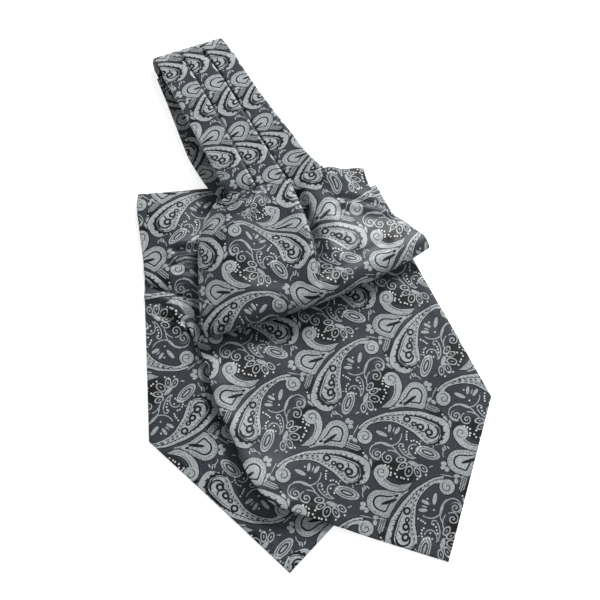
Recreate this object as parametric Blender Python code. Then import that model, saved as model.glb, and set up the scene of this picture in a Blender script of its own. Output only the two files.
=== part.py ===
"""Silk cravat with a pleated neckband, laid folded on a flat surface.

The cloth is one long piece: two wide blades with pointed ends, joined by a neckband of three pleats.  The
neckband is folded at its middle, so that its front run lies above its back run and the two make an open loop.
The back blade turns over at a fold and lies flat.  The front blade puffs up below the neckband, rolls under,
turns once more and lies across the back blade.

Units are metres in the scene and millimetres in the sizes below.  +Z is up, +Y runs from the blades' points
to the neckband's top fold, and the origin is at the middle of the part's box, on the surface it lies on.

Each stretch is laid out in a flat frame of its own: "across" runs to its right and "along" runs down towards
the blades' points, both measured from the part's origin.
"""

import math
from collections import namedtuple

import bpy
from mathutils import Vector

MM = 0.001

# Cloth
CLOTH = 1.8            # wall: silk, interlining and silk, pressed together
SEAM_GAP = 0.3         # between pieces that meet edge to edge
LAYER_GAP = 0.35       # between a layer and the one that it lies on
FLAT = CLOTH / 2       # height of the middle of a wall that lies on the surface
SECOND = CLOTH + LAYER_GAP + CLOTH / 2   # height of the middle of a wall that lies on another

# Directions of the stretches, in degrees anticlockwise from +X
FRONT_TURN = 25.0
BACK_TURN = 3.5
BAND_TURN = 28.5

# Front blade's pointed end
FRONT_POINT = (-3.5, 187.5)        # across, along
FRONT_POINT_SLOPE_LEFT = 0.87      # along per across, on the two edges of the point
FRONT_POINT_SLOPE_RIGHT = 1.03
FRONT_LIFT = 6.5                   # how far the left edge stands off the back blade
FRONT_LIFT_FROM = -15.0            # across, where that lift begins
FRONT_LIFT_START = (6.0, 46.0)     # along, where it rises from under the puff
FRONT_LIFT_CURVE = 1.6             # power of its rise towards the left edge
FRONT_LIFT_LOSS = 0.45             # share of it lost towards the point
FRONT_LIFT_END = (105.0, 165.0)    # along, where that share is lost
FRONT_HEAP_RISE = 1.5              # how much higher it lies beside the heap
FRONT_HEAP_END = (24.0, 60.0)      # along, where that rise fades
FRONT_CORNER_CURL = 3.0            # how far the left corner curls up
FRONT_CORNER_ACROSS = (-52.0, -82.0)
FRONT_CORNER_ALONG = (78.0, 112.0)
FRONT_RAMP = 10.0                  # width of the slope from the back blade down to the surface
FRONT_RAMP_CLEAR = 6.5             # level stretch between that slope and the back blade's edge

# Front blade's own top fold
TURN_OUTER = 68.6                  # across, its two sides
TURN_INNER = 58.0
TURN_TOP = -41.0                   # along, the fold itself

# Middle of a folded wall, from its hidden edge round the fold: distance back from the fold, and height
FoldRow = namedtuple("FoldRow", "back z")
FRONT_TURN_ROWS = (
    FoldRow(16.0, FLAT),
    FoldRow(5.0, FLAT),
    FoldRow(1.15, FLAT),
    FoldRow(0.34, 1.24),
    FoldRow(0.0, 2.05),
    FoldRow(0.34, 2.86),
    FoldRow(1.15, 3.2),
    FoldRow(6.0, 3.7),
    FoldRow(14.0, 3.9),
    FoldRow(24.0, 3.6),
    FoldRow(34.0, 3.2),
    FoldRow(47.6, 2.7),
)

# Back blade
BACK_POINT = (-23.3, 175.17)
BACK_POINT_SLOPE_LEFT = 1.005
BACK_POINT_SLOPE_RIGHT = 0.88
BACK_LEFT = -101.6
BACK_LEFT_TAPER = 0.0275
BACK_RIGHT = 51.0
BACK_CREASE_LEAST = 0.05           # creases lower than this are left flat

# Puff
PUFF_TOP_AT = -61.2                # along, where across is 0
PUFF_TOP_SLOPE = 0.16
PUFF_END_AT = 21.6                 # along, at the lowest spot of the lower fold
PUFF_END_MIDDLE = 12.0
PUFF_END_BOW = 0.0014
RISE_SHARE = 0.42                  # share of the left panel that climbs from its edge
RISE_CURVE = 2.2
RIDGE_SHARE = 0.93                 # where the left panel drops into the trough
PANEL_SHARE = 0.30                 # share of the right panel that climbs out of the trough
PANEL_CURVE = 1.5                  # power of its fall towards the right edge
PUFF_CREASE_START = (0.0, 0.08)    # shares of its length where creases come and go
PUFF_CREASE_END = (0.85, 1.0)

# Neckband
FOLD_LEFT = (-16.9, -192.0)
FOLD_SLOPE = 0.196
PLEAT_START = 20.0                 # from the top fold to the pleats
PLEAT_FOOT_GAP = 1.3               # between the pleats and the puff, whose edges slope
PLEAT_RISE = 0.12                  # share of a pleat's length over which it tilts
PLEAT_LAP = 0.1                    # share of its length over which it then slides under its neighbour
BACK_START = 13.0                  # from the top fold to the under run
PLEAT_OVERLAP = 4.0
PLEAT_TILT = 2.5                   # how much higher its right edge lies than its hidden one
PLEAT_HINGE = 0.6                  # share of its width that keeps the table's height
BAND_WIDTH = 49.5
BACK_BAND_END = -66.0

Frame = namedtuple("Frame", "turn")
FRONT = Frame(FRONT_TURN)
BACK = Frame(BACK_TURN)
BAND = Frame(BAND_TURN)

# A soft ridge (height above zero) or trough (below zero) between two places of a stretch
Crease = namedtuple("Crease", "across0 along0 across1 along1 width height")

# Outline and heights of the puff at each share of its length, top to bottom
PuffRow = namedtuple("PuffRow", "share left trough right left_z crown_z trough_z panel_z right_z")
PUFF_ROWS = (
    PuffRow(0.00, -30.0, 15.0, 64.0, 21.0, 24.6, 22.2, 23.6, 12.5),
    PuffRow(0.12, -43.0, 14.5, 62.0, 16.5, 26.4, 18.5, 22.8, 12.5),
    PuffRow(0.30, -53.5, 13.2, 61.5, 14.5, 27.2, 15.5, 21.2, 12.5),
    PuffRow(0.50, -60.5, 11.0, 64.0, 14.0, 27.0, 14.0, 20.4, 12.5),
    PuffRow(0.70, -66.5, 7.8, 72.0, 14.5, 26.2, 16.8, 20.6, 13.5),
    PuffRow(0.90, -72.3, 3.0, 76.6, 14.6, 23.8, 22.0, 20.6, 14.2),
    PuffRow(1.00, -74.0, 0.0, 75.5, 11.8, 15.6, 15.4, 14.8, 11.6),
)
PUFF_SHARES = (0, 0.04, 0.08, 0.12, 0.18, 0.25, 0.33, 0.41, 0.5, 0.58, 0.66, 0.73, 0.8, 0.87, 0.93, 0.975, 1)
LEFT_SHARES = (0, 0.04, 0.09, 0.14, 0.22, 0.32, 0.43, 0.55, 0.67, 0.78, 0.87, 0.93, 0.965)
RIGHT_SHARES = (0, 0.06, 0.13, 0.21, 0.31, 0.43, 0.56, 0.7, 0.82, 0.92, 1)
PUFF_UNDER = (
    FoldRow(1.0, 9.9),
    FoldRow(3.2, 8.8),
    FoldRow(7.5, 8.4),
    FoldRow(12.0, 8.4),
)
PUFF_CREASES = (
    Crease(41.0, -30.0, 66.0, -14.0, 5.0, 1.8),
    Crease(-29.0, -62.5, -10.0, -61.0, 3.0, 2.0),
    Crease(-30.0, -55.0, -12.0, -54.0, 3.0, -1.6),
    Crease(-48.0, -8.0, -20.0, 16.0, 9.0, 1.2),
    Crease(57.0, 12.0, 1.0, 20.0, 4.0, 1.0),
)

# Hidden layers: bulges of the stacked folds, top to bottom, as shares of the height
LayerRing = namedtuple("LayerRing", "share bulge")
LAYER_RINGS = (
    LayerRing(0.88, 0.9), LayerRing(0.76, 0.0),
    LayerRing(0.64, 0.9), LayerRing(0.52, 0.0),
    LayerRing(0.40, 0.9), LayerRing(0.28, 0.0),
    LayerRing(0.14, 0.9), LayerRing(0.0, 0.0),
)
CORE_ROWS = (0.12, 0.8)
CORE_COLUMNS = (3, 20)

# Front blade: its two sides and hidden start
Side = namedtuple("Side", "along left right")
FRONT_SIDES = (
    Side(-6.0, -80.0, 66.5),
    Side(12.0, -79.0, 66.5),
    Side(28.0, -79.0, 66.8),
    Side(42.0, -82.0, 67.0),
    Side(56.0, -83.0, 67.2),
    Side(76.0, -82.4, 67.4),
    Side(92.0, -83.4, 67.5),
    Side(106.0, -81.8, 67.6),
    Side(118.0, -77.5, 67.6),
)
Start = namedtuple("Start", "across along")
FRONT_START = (
    Start(-83.0, -6.5),
    Start(-73.0, -5.0),
    Start(-62.0, 2.0),
    Start(-40.0, 6.0),
    Start(0.0, 8.3),
    Start(67.5, 8.0),
)
FRONT_CREASES = (
    Crease(-45.0, 13.0, -34.0, 29.0, 3.0, -1.3),
    Crease(-58.0, 16.0, -50.0, 30.0, 5.0, 1.6),
    Crease(-80.0, 2.0, -68.0, 14.0, 4.0, 2.3),
    Crease(-83.0, 20.0, -70.0, 24.0, 3.0, -1.0),
    Crease(-20.0, 26.0, 40.0, 30.0, 8.0, 0.8),
)

# Back blade: its start, where the turned stretch dips in front of it
BACK_START_LINE = (
    Start(-101.6, -2.0),
    Start(-97.0, 2.2),
    Start(-84.0, 5.0),
    Start(-68.0, 11.0),
    Start(-58.0, 32.0),
    Start(51.0, -9.0),
)
BACK_CREASES = (
    Crease(-101.5, 5.5, -90.0, 8.0, 3.0, 3.2),
    Crease(-86.0, 9.0, -80.0, 20.0, 3.0, 2.4),
)

# Back blade's turned stretch, from its top fold down, in the part's own X and Y
TurnRow = namedtuple("TurnRow", "share left right left_z middle_z right_z")
FLAP_ROWS = (
    TurnRow(0.00, -109.52, -55.0, 3.6, 3.6, 3.3),
    TurnRow(0.15, -109.42, -55.0, 4.4, 5.0, 3.3),
    TurnRow(0.32, -108.3, -60.5, 4.8, 6.6, 3.3),
    TurnRow(0.55, -106.0, -60.5, 4.6, 6.2, 3.0),
    TurnRow(0.80, -103.6, -60.5, 4.4, 5.0, 2.4),
    TurnRow(0.93, -102.5, -60.5, 3.2, 3.0, 1.6),
    TurnRow(1.00, -102.3, -60.5, 1.4, FLAT, FLAT),
)
FlapEnd = namedtuple("FlapEnd", "x y")
FLAP_END = (
    FlapEnd(-103.0, 4.6),
    FlapEnd(-98.0, -3.6),
    FlapEnd(-84.0, -8.2),
    FlapEnd(-68.0, -13.4),
    FlapEnd(-60.0, -16.4),
)
FLAP_TOP_LEFT = (-109.52, 58.9)
FLAP_TOP_SLOPE = 0.0915
FLAP_UNDER_ROWS = (
    FoldRow(14.0, FLAT),
    FoldRow(5.0, FLAT),
    FoldRow(1.2, FLAT),
    FoldRow(0.2, 1.5),
    FoldRow(0.0, 2.3),
    FoldRow(0.3, 3.1),
)
FLAP_SHARES = (0.02, 0.06, 0.12, 0.2, 0.3, 0.4, 0.5, 0.6, 0.7, 0.78, 0.86, 0.93, 1.0)
FLAP_LEFT_PART = (0.0, 0.35)       # shares of its width where its height goes from the left edge's
FLAP_RIGHT_PART = (0.45, 1.0)      # to the middle's, and on to the right edge's
FLAP_CREASE_START = (0.0, 0.12)    # shares of its length where creases come and go
FLAP_CREASE_END = (0.88, 1.0)
FLAP_CREASES = (
    Crease(-66.0, 48.0, -86.0, 16.0, 4.0, 1.4),
    Crease(-64.0, 26.0, -84.0, 22.0, 2.6, 1.2),
    Crease(-62.0, 17.0, -84.0, 12.0, 2.6, 1.3),
    Crease(-62.0, 2.0, -88.0, 4.0, 3.5, 1.2),
)

# Neckband: heights and edges of the front run, from the top fold down
BandRow = namedtuple("BandRow", "along left pleat1 pleat2 right z")
BAND_ROWS = (
    BandRow(-172.0, -15.6, 0.6, 15.6, 32.6, 13.4),
    BandRow(-150.0, -15.8, 0.5, 16.0, 31.8, 16.2),
    BandRow(-128.0, -16.8, 0.2, 16.6, 31.9, 18.8),
    BandRow(-106.0, -17.8, -0.6, 16.4, 32.9, 21.2),
    BandRow(-86.0, -18.4, -1.2, 16.3, 34.4, 22.8),
    BandRow(-66.0, -19.0, -1.5, 16.6, 36.2, 23.6),
    BandRow(-50.0, -19.4, -1.8, 17.0, 41.0, 23.6),
)
BAND_TURN_ROWS = (
    FoldRow(12.7, FLAT),
    FoldRow(7.0, 1.1),
    FoldRow(2.6, 2.2),
    FoldRow(0.3, 4.6),
    FoldRow(0.6, 7.6),
    FoldRow(3.6, 10.2),
    FoldRow(9.0, 11.9),
    FoldRow(14.5, 12.9),
    FoldRow(19.7, 13.7),
)
BAND_TURN_SHIFT = 2.6              # how far left its under side lies
BAND_TURN_SHIFT_TOP = 6.0          # height where that shift ends
BackBandRow = namedtuple("BackBandRow", "along left z")
BACK_BAND_ROWS = (
    BackBandRow(-181.0, -19.0, FLAT),
    BackBandRow(-163.0, -21.0, FLAT),
    BackBandRow(-146.0, -23.2, FLAT),
    BackBandRow(-128.0, -25.6, FLAT),
    BackBandRow(-112.0, -27.4, FLAT),
    BackBandRow(-100.0, -27.4, 3.0),
    BackBandRow(-91.0, -27.4, 6.0),
    BackBandRow(-84.0, -26.6, 6.7),
    BackBandRow(-76.0, -23.7, 7.2),
    BackBandRow(-66.0, -21.5, 7.6),
)

SLATE = (0.11, 0.125, 0.155, 1.0)
SLATE_DARK = (0.075, 0.085, 0.11, 1.0)
SILVER = (0.30, 0.31, 0.33, 1.0)


def clamp(value):
    """Keep a share between 0 and 1."""
    return min(max(value, 0.0), 1.0)


def ease(value):
    """Turn a share into one that starts and stops gently."""
    value = clamp(value)
    return value * value * (3.0 - 2.0 * value)


def grow(value, ends):
    """Give a gentle rise from 0 at the first end to 1 at the second."""
    return ease((value - ends[0]) / (ends[1] - ends[0]))


def read(rows, key, column, at):
    """Read a table's column between its rows, on a smooth curve through them."""
    spots = [getattr(row, key) for row in rows]
    values = [getattr(row, column) for row in rows]
    if at <= spots[0]:
        return values[0]
    if at >= spots[-1]:
        return values[-1]
    first = max(i for i in range(len(spots) - 1) if spots[i] <= at)
    span = spots[first + 1] - spots[first]
    share = (at - spots[first]) / span

    def slope(i):
        low, high = max(i - 1, 0), min(i + 1, len(spots) - 1)
        return (values[high] - values[low]) / (spots[high] - spots[low])

    a, b = values[first], values[first + 1]
    rise = (b - a) / span
    before, after = slope(first), slope(first + 1)
    limit = 2.0 * abs(rise)
    before = max(-limit, min(limit, before))
    after = max(-limit, min(limit, after))
    square, cube = share * share, share ** 3
    return (a * (2 * cube - 3 * square + 1) + b * (3 * square - 2 * cube)
            + span * (before * (cube - 2 * square + share) + after * (cube - square)))


def place(frame, across, along):
    """Turn a stretch's own across and along into the part's X and Y."""
    turn = math.radians(frame.turn)
    return (across * math.cos(turn) + along * math.sin(turn),
            across * math.sin(turn) - along * math.cos(turn))


def measure(frame, x, y):
    """Turn the part's X and Y into a stretch's own across and along."""
    turn = math.radians(frame.turn)
    return (x * math.cos(turn) + y * math.sin(turn),
            x * math.sin(turn) - y * math.cos(turn))


def point_columns(left, point, right, before, after):
    """Spread a blade's columns so that one of them runs to its point."""
    columns = [left + (point - left) * c / before for c in range(before)]
    return columns + [point + (right - point) * c / after for c in range(after + 1)]


def crease_height(creases, across, along):
    """Add up the creases' heights at one place of a stretch."""
    total = 0.0
    for crease in creases:
        run_a, run_b = crease.across1 - crease.across0, crease.along1 - crease.along0
        length = math.hypot(run_a, run_b)
        a, b = across - crease.across0, along - crease.along0
        share = (a * run_a + b * run_b) / (length * length)
        off = (a * run_b - b * run_a) / length
        past = max(-share, share - 1.0, 0.0) * length
        total += crease.height * math.exp(-(off * off + past * past) / crease.width ** 2)
    return total


def material(name, colour):
    """Make a plain silk material."""
    silk = bpy.data.materials.new(name)
    silk.use_nodes = True
    shader = silk.node_tree.nodes["Principled BSDF"]
    shader.inputs["Base Color"].default_value = colour
    shader.inputs["Roughness"].default_value = 0.45
    shader.inputs["Metallic"].default_value = 0.0
    return silk


def add_piece(name, points, faces, colour):
    """Make one named object from points in millimetres and its faces."""
    mesh = bpy.data.meshes.new(name)
    mesh.from_pydata([point * MM for point in points], [], faces)
    mesh.update()
    mesh.shade_smooth()
    mesh.materials.append(material(name, colour))
    piece = bpy.data.objects.new(name, mesh)
    bpy.context.collection.objects.link(piece)
    return piece


def grid_normals(grid):
    """Work out which way the cloth faces at each point of a grid."""
    rows, columns = len(grid), len(grid[0])
    normals = []
    for r in range(rows):
        line = []
        for c in range(columns):
            along = grid[min(r + 1, rows - 1)][c] - grid[max(r - 1, 0)][c]
            across = grid[r][min(c + 1, columns - 1)] - grid[r][max(c - 1, 0)]
            line.append(along.cross(across).normalized())
        normals.append(line)
    return normals


def grid_faces(rows, columns, start, outward):
    """Split a grid of points into triangles that face outward or inward."""
    faces = []
    for r in range(rows - 1):
        for c in range(columns - 1):
            a = start + r * columns + c
            b, d, e = a + 1, a + columns, a + columns + 1
            pair = [(a, d, e), (a, e, b)]
            faces += pair if outward else [face[::-1] for face in pair]
    return faces


def rim(rows, columns):
    """List a grid's edge points in order: down its left side, then round."""
    ring = [(r, 0) for r in range(rows)]
    ring += [(rows - 1, c) for c in range(1, columns)]
    ring += [(r, columns - 1) for r in range(rows - 2, -1, -1)]
    ring += [(0, c) for c in range(columns - 2, 0, -1)]
    return ring


def cloth_wall(name, grid, colour):
    """Close a wall of cloth round a grid of its middle points."""
    rows, columns = len(grid), len(grid[0])
    normals = grid_normals(grid)
    outer = [grid[r][c] + normals[r][c] * (CLOTH / 2) for r in range(rows) for c in range(columns)]
    inner = [grid[r][c] - normals[r][c] * (CLOTH / 2) for r in range(rows) for c in range(columns)]
    count = rows * columns
    faces = grid_faces(rows, columns, 0, True) + grid_faces(rows, columns, count, False)
    ring = [r * columns + c for r, c in rim(rows, columns)]
    for a, b in zip(ring, ring[1:] + ring[:1]):
        faces += [(b, a, a + count), (b, a + count, b + count)]
    return add_piece(name, outer + inner, faces, colour)


def point_end(across, point, slope_left, slope_right):
    """Give the along of a pointed end's edge at one across."""
    slope = slope_left if across < point[0] else slope_right
    return point[1] - slope * abs(across - point[0])


def back_blade_reach(x, y):
    """Give how far a place lies inside the back blade's right side and point."""
    across, along = measure(BACK, x, y)
    right = BACK_RIGHT - across
    left_slope, right_slope = BACK_POINT_SLOPE_LEFT, BACK_POINT_SLOPE_RIGHT
    over_left = BACK_POINT[1] + left_slope * (across - BACK_POINT[0]) - along
    over_right = BACK_POINT[1] - right_slope * (across - BACK_POINT[0]) - along
    return min(right, over_left / math.hypot(1.0, left_slope), over_right / math.hypot(1.0, right_slope))


def back_blade_end():
    """Lay the back blade's pointed end flat on the surface."""
    rows = 22
    columns = point_columns(BACK_LEFT, BACK_POINT[0], BACK_RIGHT, 9, 9)
    grid = []
    for r in range(rows):
        line = []
        for nominal in columns:
            start = read(BACK_START_LINE, "across", "along", nominal)
            end = point_end(nominal, BACK_POINT, BACK_POINT_SLOPE_LEFT, BACK_POINT_SLOPE_RIGHT)
            along = start + (end - start) * r / (rows - 1)
            left = BACK_LEFT + BACK_LEFT_TAPER * max(along, 0.0)
            across = left + (BACK_RIGHT - left) * (nominal - BACK_LEFT) / (BACK_RIGHT - BACK_LEFT)
            z = FLAT + crease_height(BACK_CREASES, across, along)
            z = FLAT if z < FLAT + BACK_CREASE_LEAST else z
            line.append(Vector((*place(BACK, across, along), z)))
        grid.append(line)
    return cloth_wall("back_blade_end", grid, SLATE)


def front_height(across, along):
    """Give the height of the front blade's middle where it lies on the back one or the surface."""
    x, y = place(FRONT, across, along)
    over = ease((back_blade_reach(x, y) + FRONT_RAMP + FRONT_RAMP_CLEAR) / FRONT_RAMP)
    z = FLAT + (SECOND - FLAT) * over
    side = clamp((FRONT_LIFT_FROM - across) / (FRONT_LIFT_FROM - FRONT_SIDES[0].left)) ** FRONT_LIFT_CURVE
    kept = 1.0 - FRONT_LIFT_LOSS * grow(along, FRONT_LIFT_END)
    z += FRONT_LIFT * side * grow(along, FRONT_LIFT_START) * kept
    z += FRONT_HEAP_RISE * over * (1.0 - grow(along, FRONT_HEAP_END))
    z += FRONT_CORNER_CURL * grow(across, FRONT_CORNER_ACROSS) * grow(along, FRONT_CORNER_ALONG)
    return z + crease_height(FRONT_CREASES, across, along) * over


def front_blade_end():
    """Lay the front blade's pointed end across the back blade."""
    rows = 24
    first, last = FRONT_START[0].across, FRONT_START[-1].across
    columns = point_columns(first, FRONT_POINT[0], last, 11, 11)
    grid = []
    for r in range(rows):
        line = []
        for nominal in columns:
            share = (nominal - first) / (last - first)
            start = read(FRONT_START, "across", "along", nominal)
            end = point_end(nominal, FRONT_POINT, FRONT_POINT_SLOPE_LEFT, FRONT_POINT_SLOPE_RIGHT)
            along = start + (end - start) * r / (rows - 1)
            left = read(FRONT_SIDES, "along", "left", along)
            right = read(FRONT_SIDES, "along", "right", along)
            across = left + (right - left) * share
            line.append(Vector((*place(FRONT, across, along), front_height(across, along))))
        grid.append(line)
    return cloth_wall("front_blade_end", grid, SILVER)


def front_blade_turn():
    """Fold the front blade's upper end over itself, beside the heap."""
    columns = 4
    grid = []
    for row in FRONT_TURN_ROWS:
        line = []
        for c in range(columns):
            across = TURN_INNER + (TURN_OUTER - TURN_INNER) * c / (columns - 1)
            line.append(Vector((*place(FRONT, across, TURN_TOP + row.back), row.z)))
        grid.append(line)
    return cloth_wall("front_blade_turn", grid, SILVER)


def puff_top(across):
    """Give the along of the puff's upper edge, where the neckband runs into it."""
    return PUFF_TOP_AT + PUFF_TOP_SLOPE * across


def puff_end(across):
    """Give the along of the puff's lower fold."""
    return PUFF_END_AT - PUFF_END_BOW * (across - PUFF_END_MIDDLE) ** 2


def puff_point(share, side, part):
    """Give one place of the puff: a share of its length, and a share of its left or right panel."""
    row = {name: read(PUFF_ROWS, "share", name, share) for name in PuffRow._fields}
    if side == "left":
        across = row["left"] + (row["trough"] - row["left"]) * part
        climb = 1.0 - (1.0 - clamp(part / RISE_SHARE)) ** RISE_CURVE
        z = row["left_z"] + (row["crown_z"] - row["left_z"]) * climb
        drop = ease((part - RIDGE_SHARE) / (1.0 - RIDGE_SHARE))
        z += (row["trough_z"] - z) * drop
    else:
        across = row["trough"] + (row["right"] - row["trough"]) * part
        z = row["trough_z"] + (row["panel_z"] - row["trough_z"]) * ease(part / PANEL_SHARE)
        fall = clamp((part - PANEL_SHARE) / (1.0 - PANEL_SHARE))
        z += (row["right_z"] - row["panel_z"]) * fall ** PANEL_CURVE
    top, end = puff_top(across), puff_end(across)
    along = top + (end - top) * share
    fade = grow(share, PUFF_CREASE_START) * (1.0 - grow(share, PUFF_CREASE_END))
    z += crease_height(PUFF_CREASES, across, along) * fade
    return across, along, z


def puff_grid():
    """Give the puff's middle points, from the neckband to the turned-under edge."""
    columns = [("left", part) for part in LEFT_SHARES] + [("right", part) for part in RIGHT_SHARES]
    grid = []
    for share in PUFF_SHARES:
        line = []
        for side, part in columns:
            across, along, z = puff_point(share, side, part)
            line.append(Vector((*place(FRONT, across, along), z)))
        grid.append(line)
    for under in PUFF_UNDER:
        line = []
        for side, part in columns:
            across, along, _ = puff_point(1.0, side, part)
            line.append(Vector((*place(FRONT, across, along - under.back), under.z)))
        grid.append(line)
    return grid


def front_blade_top():
    """Puff up the front blade's upper stretch and roll its lower fold under."""
    return cloth_wall("front_blade_top", puff_grid(), SILVER)


def folded_layers():
    """Fill the heap under the puff with its hidden layers, whose edges show as stacked folds."""
    grid = puff_grid()
    normals = grid_normals(grid)
    first, last = PUFF_SHARES.index(CORE_ROWS[0]), PUFF_SHARES.index(CORE_ROWS[1])
    left, right = CORE_COLUMNS
    drop = CLOTH / 2 + LAYER_GAP
    top = []
    for r in range(first, last + 1):
        top.append([grid[r][c] - normals[r][c] * drop for c in range(left, right + 1)])
    rows, columns = len(top), len(top[0])
    points = [point for line in top for point in line]
    faces = grid_faces(rows, columns, 0, True)
    edge = [top[r][c] for r, c in rim(rows, columns)]
    centre = sum(edge, Vector()) / len(edge)
    previous = [r * columns + c for r, c in rim(rows, columns)]
    for ring in LAYER_RINGS:
        start = len(points)
        for point in edge:
            out = Vector((point.x - centre.x, point.y - centre.y, 0.0)).normalized()
            points.append(Vector((point.x, point.y, point.z * ring.share)) + out * ring.bulge)
        current = list(range(start, start + len(edge)))
        for i in range(len(edge)):
            a, b = previous[i], previous[(i + 1) % len(edge)]
            d, e = current[i], current[(i + 1) % len(edge)]
            faces += [(b, a, d), (b, d, e)]
        previous = current
    faces.append(previous[::-1])
    return add_piece("folded_layers", points, faces, SLATE_DARK)


def back_blade_turn():
    """Turn the back blade's upper stretch over at its top fold."""
    columns = 10
    grid = []
    for row in FLAP_UNDER_ROWS:
        line = []
        for c in range(columns):
            x = FLAP_ROWS[0].left + (FLAP_ROWS[0].right - FLAP_ROWS[0].left) * c / (columns - 1)
            y = FLAP_TOP_LEFT[1] + FLAP_TOP_SLOPE * (x - FLAP_TOP_LEFT[0]) - row.back
            line.append(Vector((x, y, row.z)))
        grid.append(line)
    for share in FLAP_SHARES:
        line = []
        for c in range(columns):
            part = c / (columns - 1)
            left = read(FLAP_ROWS, "share", "left", share)
            right = read(FLAP_ROWS, "share", "right", share)
            x = left + (right - left) * part
            top = FLAP_TOP_LEFT[1] + FLAP_TOP_SLOPE * (x - FLAP_TOP_LEFT[0])
            end = read(FLAP_END, "x", "y", x)
            y = top + (end - top) * share
            left_z = read(FLAP_ROWS, "share", "left_z", share)
            middle_z = read(FLAP_ROWS, "share", "middle_z", share)
            right_z = read(FLAP_ROWS, "share", "right_z", share)
            z = left_z + (middle_z - left_z) * grow(part, FLAP_LEFT_PART)
            z += (right_z - middle_z) * grow(part, FLAP_RIGHT_PART)
            fade = grow(share, FLAP_CREASE_START) * (1.0 - grow(share, FLAP_CREASE_END))
            z += crease_height(FLAP_CREASES, x, y) * fade
            line.append(Vector((x, y, z)))
        grid.append(line)
    return cloth_wall("back_blade_turn", grid, SLATE)


def fold_line(across):
    """Give the along of the neckband's top fold."""
    return FOLD_LEFT[1] + FOLD_SLOPE * (across - FOLD_LEFT[0])


def band_end(across):
    """Give the along, in the neckband's frame, where the front run meets the puff's upper edge."""
    shift = math.radians(BAND_TURN - FRONT_TURN)
    slope = PUFF_TOP_SLOPE
    level = PUFF_TOP_AT - PLEAT_FOOT_GAP
    return (level + across * (slope * math.cos(shift) + math.sin(shift))) / (
        math.cos(shift) - slope * math.sin(shift))


def band_pleat(name, left_column, right_column, tucked):
    """Lay one pleat of the neckband's front run; its left edge lies under its neighbour."""
    rows, columns = 16, 4
    top, foot = BAND_ROWS[0].along, BAND_ROWS[-1].along
    width = BAND_WIDTH / 3
    grid = []
    for r in range(rows):
        line = []
        share = r / (rows - 1)
        rise = ease(share / PLEAT_RISE)
        lap = PLEAT_OVERLAP * ease((share - PLEAT_RISE) / PLEAT_LAP) if tucked else 0.0
        for c in range(columns):
            part = c / (columns - 1)
            ends = []
            for at in (top, foot):
                left = read(BAND_ROWS, "along", left_column, at)
                ends.append(left + part * (read(BAND_ROWS, "along", right_column, at) - left))
            start, end = fold_line(ends[0]) + PLEAT_START, band_end(ends[1])
            along = start + (end - start) * share
            edge = read(BAND_ROWS, "along", left_column, along) + SEAM_GAP / 2
            right = read(BAND_ROWS, "along", right_column, along) - SEAM_GAP / 2
            across = edge - lap + (right - edge + lap) * part
            tilt = PLEAT_TILT * ((across - edge + PLEAT_OVERLAP) / width - PLEAT_HINGE)
            z = read(BAND_ROWS, "along", "z", along) + tilt * rise
            line.append(Vector((*place(BAND, across, along), z)))
        grid.append(line)
    return cloth_wall(name, grid, SILVER)


def band_turn():
    """Turn the neckband over at its top fold."""
    columns = 10
    left, right = BAND_ROWS[0].left, BAND_ROWS[0].right
    grid = []
    for row in BAND_TURN_ROWS:
        line = []
        for c in range(columns):
            part = c / (columns - 1)
            under = clamp(1.0 - row.z / BAND_TURN_SHIFT_TOP)
            across = left + (right - left) * part - BAND_TURN_SHIFT * under
            line.append(Vector((*place(BAND, across, fold_line(across) + row.back), row.z)))
        grid.append(line)
    return cloth_wall("band_turn", grid, SLATE)


def band_back():
    """Lay the neckband's under run on the surface and up over the turned blade."""
    rows, columns = 16, 8
    grid = []
    for r in range(rows):
        line = []
        for c in range(columns):
            part = c / (columns - 1)
            nominal = BACK_BAND_ROWS[0].left + BAND_WIDTH * part
            start = fold_line(nominal) + BACK_START
            along = start + (BACK_BAND_END - start) * r / (rows - 1)
            left = read(BACK_BAND_ROWS, "along", "left", along)
            across = left + BAND_WIDTH * part
            z = read(BACK_BAND_ROWS, "along", "z", along)
            line.append(Vector((*place(BAND, across, along), z)))
        grid.append(line)
    return cloth_wall("band_back", grid, SLATE_DARK)


def clear_scene():
    """Remove whatever the scene holds."""
    for item in list(bpy.data.objects):
        bpy.data.objects.remove(item, do_unlink=True)


def main():
    """Build every stretch of the cravat."""
    clear_scene()
    back_blade_end()
    back_blade_turn()
    front_blade_end()
    front_blade_turn()
    front_blade_top()
    folded_layers()
    band_pleat("band_pleat_left", "left", "pleat1", False)
    band_pleat("band_pleat_middle", "pleat1", "pleat2", True)
    band_pleat("band_pleat_right", "pleat2", "right", True)
    band_turn()
    band_back()


main()
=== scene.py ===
"""Silk cravat with a pleated neckband, laid folded on a pale floor.

The cloth is one long piece of paisley jacquard: two wide blades with pointed ends, joined by a neckband of three
pleats.  Each stretch that shows is a sheet of its own, worked out from its sizes in millimetres, and carries the
woven pattern on a map of the flat cloth.  "Across" runs to a stretch's right and "along" towards its point, both
measured from the frame's origin.
"""

import logging
import math
from dataclasses import dataclass
from enum import Enum
from typing import NamedTuple, Optional, Sequence

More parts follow.
